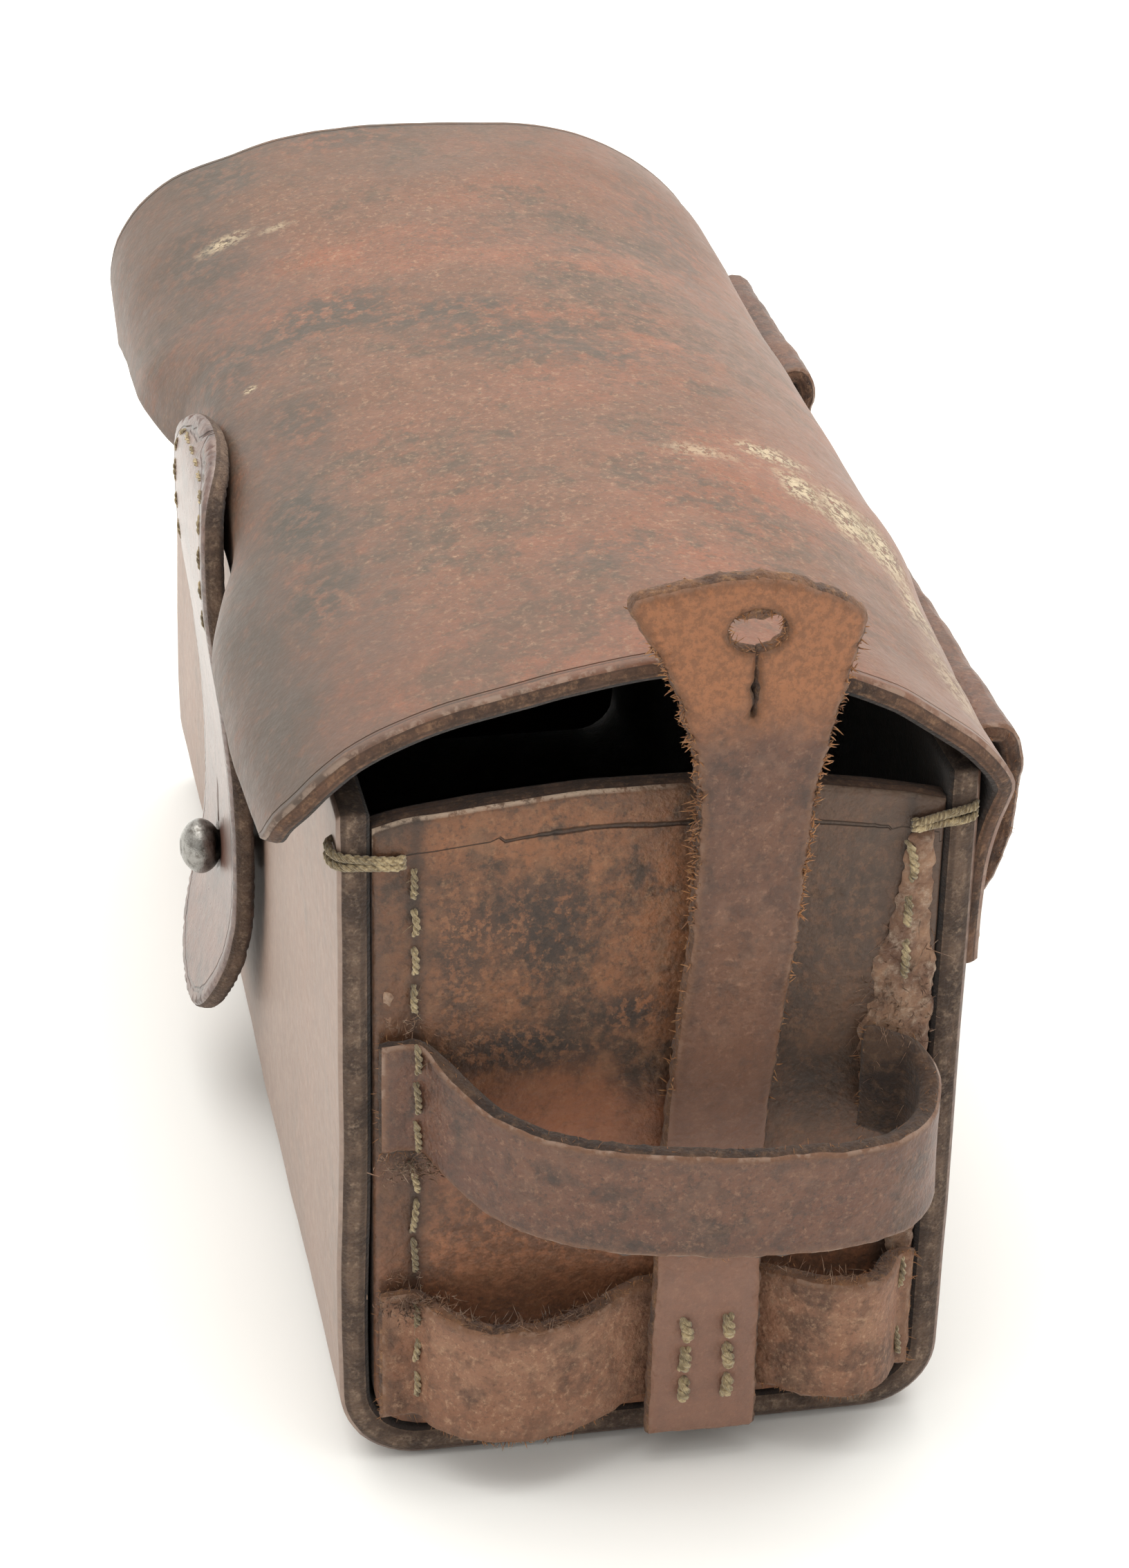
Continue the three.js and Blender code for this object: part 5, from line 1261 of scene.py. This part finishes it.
# ---- torn, dry leather along the back seam of each end ------------------
def torn_strip(B, poly, sign, seed, lift):
    def fm(P2):
        n = np.zeros((len(P2), 3))
        n[:, 0] = sign
        p3 = np.c_[P2, np.zeros(len(P2))]
        x = EX + lift + 0.35 * nz(p3, 2.6, seed) + 0.3 * nz(p3, 1.0, seed + 3)
        return np.stack([sign * x, P2[:, 0], P2[:, 1]], 1), n
    plate(B, [poly], fm, 1.2, 0.8, 2, 0.1, 0.2, 0.5, 0.6, None, seed, mats=(0, 0, 0))


for sgn, pre in ((1, "right"), (-1, "left")):
    b = Build()
    torn_strip(b, [(28.2, 70), (28.9, 77), (29.8, 83), (32.4, 84), (33.2, 80), (33.0, 74), (33.8, 66), (33.7, 56), (33.6, 45), (28.5, 44.6), (25.4, 50), (25.0, 57), (26.6, 61), (26.4, 66)], sgn, 3.3, 0.55)
    torn_strip(b, [(30.0, 40), (33.6, 42), (33.8, 24), (33.6, 12), (31.4, 9), (31.2, 16), (30.6, 26), (26.0, 30), (24.5, 33.5), (28.0, 36)], sgn, 5.1, 0.45)
    torn_strip(b, [(-33.2, 66), (-32.6, 70), (-31.4, 66), (-31.8, 62.6), (-33.0, 62.2)], sgn, 8.1, 0.1)
    r = np.random.default_rng(40 + sgn)
    q = np.stack([np.full(150, sgn * (EX + 0.5)), r.uniform(27, 33.5, 150), r.uniform(44, 72, 150)], 1)
    hairs(b, q, np.tile((sgn * 0.6, 0, 0.2), (150, 1)), 2.2, 0.08, 0, 0.9, 50 + sgn)
    q = np.stack([np.full(120, sgn * (EX + 0.5)), r.uniform(24.5, 30, 120), r.uniform(52, 64, 120)], 1)
    hairs(b, q, np.tile((sgn * 0.5, -0.5, 0.1), (120, 1)), 2.0, 0.075, 0, 0.8, 55 + sgn)
    q = np.stack([np.full(60, sgn * (EX + 0.4)), r.uniform(30, 33.5, 60), r.uniform(10, 40, 60)], 1)
    hairs(b, q, np.tile((sgn * 0.6, 0, 0.2), (60, 1)), 1.2, 0.07, 0, 0.9, 60 + sgn)
    q = np.stack([np.full(70, sgn * (EX + 0.4)), r.normal(-30.5, 1.2, 70), np.r_[r.uniform(24, 28, 35), r.uniform(61, 64, 35)]], 1)
    hairs(b, q, np.tile((sgn * 0.6, 0, 0.4), (70, 1)), 1.3, 0.07, 0, 0.9, 70 + sgn)
    b.make(pre + "_torn_margin", [M["torn"]], "case", [], "panel_leather")

# ---- floor and light ----------------------------------------------------
def stage_floor():
    me = bpy.data.meshes.new("floor")
    k = 60
    g = np.linspace(-4, 4, k)
    V = [(x, y, -0.0006) for x in g for y in g]
    F = [[i * k + j, (i + 1) * k + j, (i + 1) * k + j + 1, i * k + j + 1] for i in range(k - 1) for j in range(k - 1)]
    me.from_pydata(V, [], F)
    ob = bpy.data.objects.new("floor", me)
    scene.collection.objects.link(ob)
    T = Tree("floor_paper")
    co = T.node("ShaderNodeTexCoord").outputs["Object"]
    n = T.noise(co, 30, 3.0, 0.5)
    col = T.mix(T.mul(n, 0.2), (0.93, 0.94, 0.93, 1), (0.96, 0.96, 0.95, 1))
    me.materials.append(T.done(col, 0.9, None, 0.1))


stage_floor()
world = bpy.data.worlds.new("studio")
world.use_nodes = True
wn = world.node_tree
wn.nodes.clear()
wco = wn.nodes.new("ShaderNodeTexCoord")
wsep = wn.nodes.new("ShaderNodeSeparateXYZ")
wn.links.new(wco.outputs["Generated"], wsep.inputs[0])
wr = wn.nodes.new("ShaderNodeMapRange")
wr.interpolation_type = "SMOOTHSTEP"
wn.links.new(wsep.outputs[0], wr.inputs[0])
for k_, v_ in ((1, 0.05), (2, 0.85), (3, 1.22), (4, 0.68)):
    wr.inputs[k_].default_value = v_
bg = wn.nodes.new("ShaderNodeBackground")
bg.inputs[0].default_value = (1.0, 0.975, 0.925, 1)
# a dark wall low in front of the case gives the metal something to mirror
wy = wn.nodes.new("ShaderNodeMapRange")
wy.interpolation_type = "SMOOTHSTEP"
wn.links.new(wsep.outputs[1], wy.inputs[0])
for k_, v_ in ((1, -0.62), (2, -0.86), (3, 0.0), (4, 0.22)):
    wy.inputs[k_].default_value = v_
wz = wn.nodes.new("ShaderNodeMapRange")
wz.interpolation_type = "SMOOTHSTEP"
wn.links.new(wsep.outputs[2], wz.inputs[0])
for k_, v_ in ((1, 0.2), (2, 0.45), (3, 1.0), (4, 0.0)):
    wz.inputs[k_].default_value = v_
wm = wn.nodes.new("ShaderNodeMath")
wm.operation = "MULTIPLY"
wn.links.new(wy.outputs[0], wm.inputs[0])
wn.links.new(wz.outputs[0], wm.inputs[1])
wi = wn.nodes.new("ShaderNodeMath")
wi.operation = "SUBTRACT"
wi.inputs[0].default_value = 1.0
wn.links.new(wm.outputs[0], wi.inputs[1])
wf = wn.nodes.new("ShaderNodeMath")
wf.operation = "MULTIPLY"
wn.links.new(wr.outputs[0], wf.inputs[0])
wn.links.new(wi.outputs[0], wf.inputs[1])
wn.links.new(wf.outputs[0], bg.inputs[1])
wo = wn.nodes.new("ShaderNodeOutputWorld")
wn.links.new(bg.outputs[0], wo.inputs[0])
scene.world = world


def area(name, loc, target, size, power, color=(1, 1, 1)):
    d = bpy.data.lights.new(name, "AREA")
    d.shape = "SQUARE"
    d.size = size
    d.energy = power
    d.color = color
    o = bpy.data.objects.new(name, d)
    scene.collection.objects.link(o)
    o.location = loc
    o.rotation_euler = (Vector(target) - Vector(loc)).to_track_quat("-Z", "Y").to_euler()


area("key", (-0.2, -0.02, 1.45), (0.02, 0, 0.05), 1.8, 22, (1.0, 0.985, 0.95))
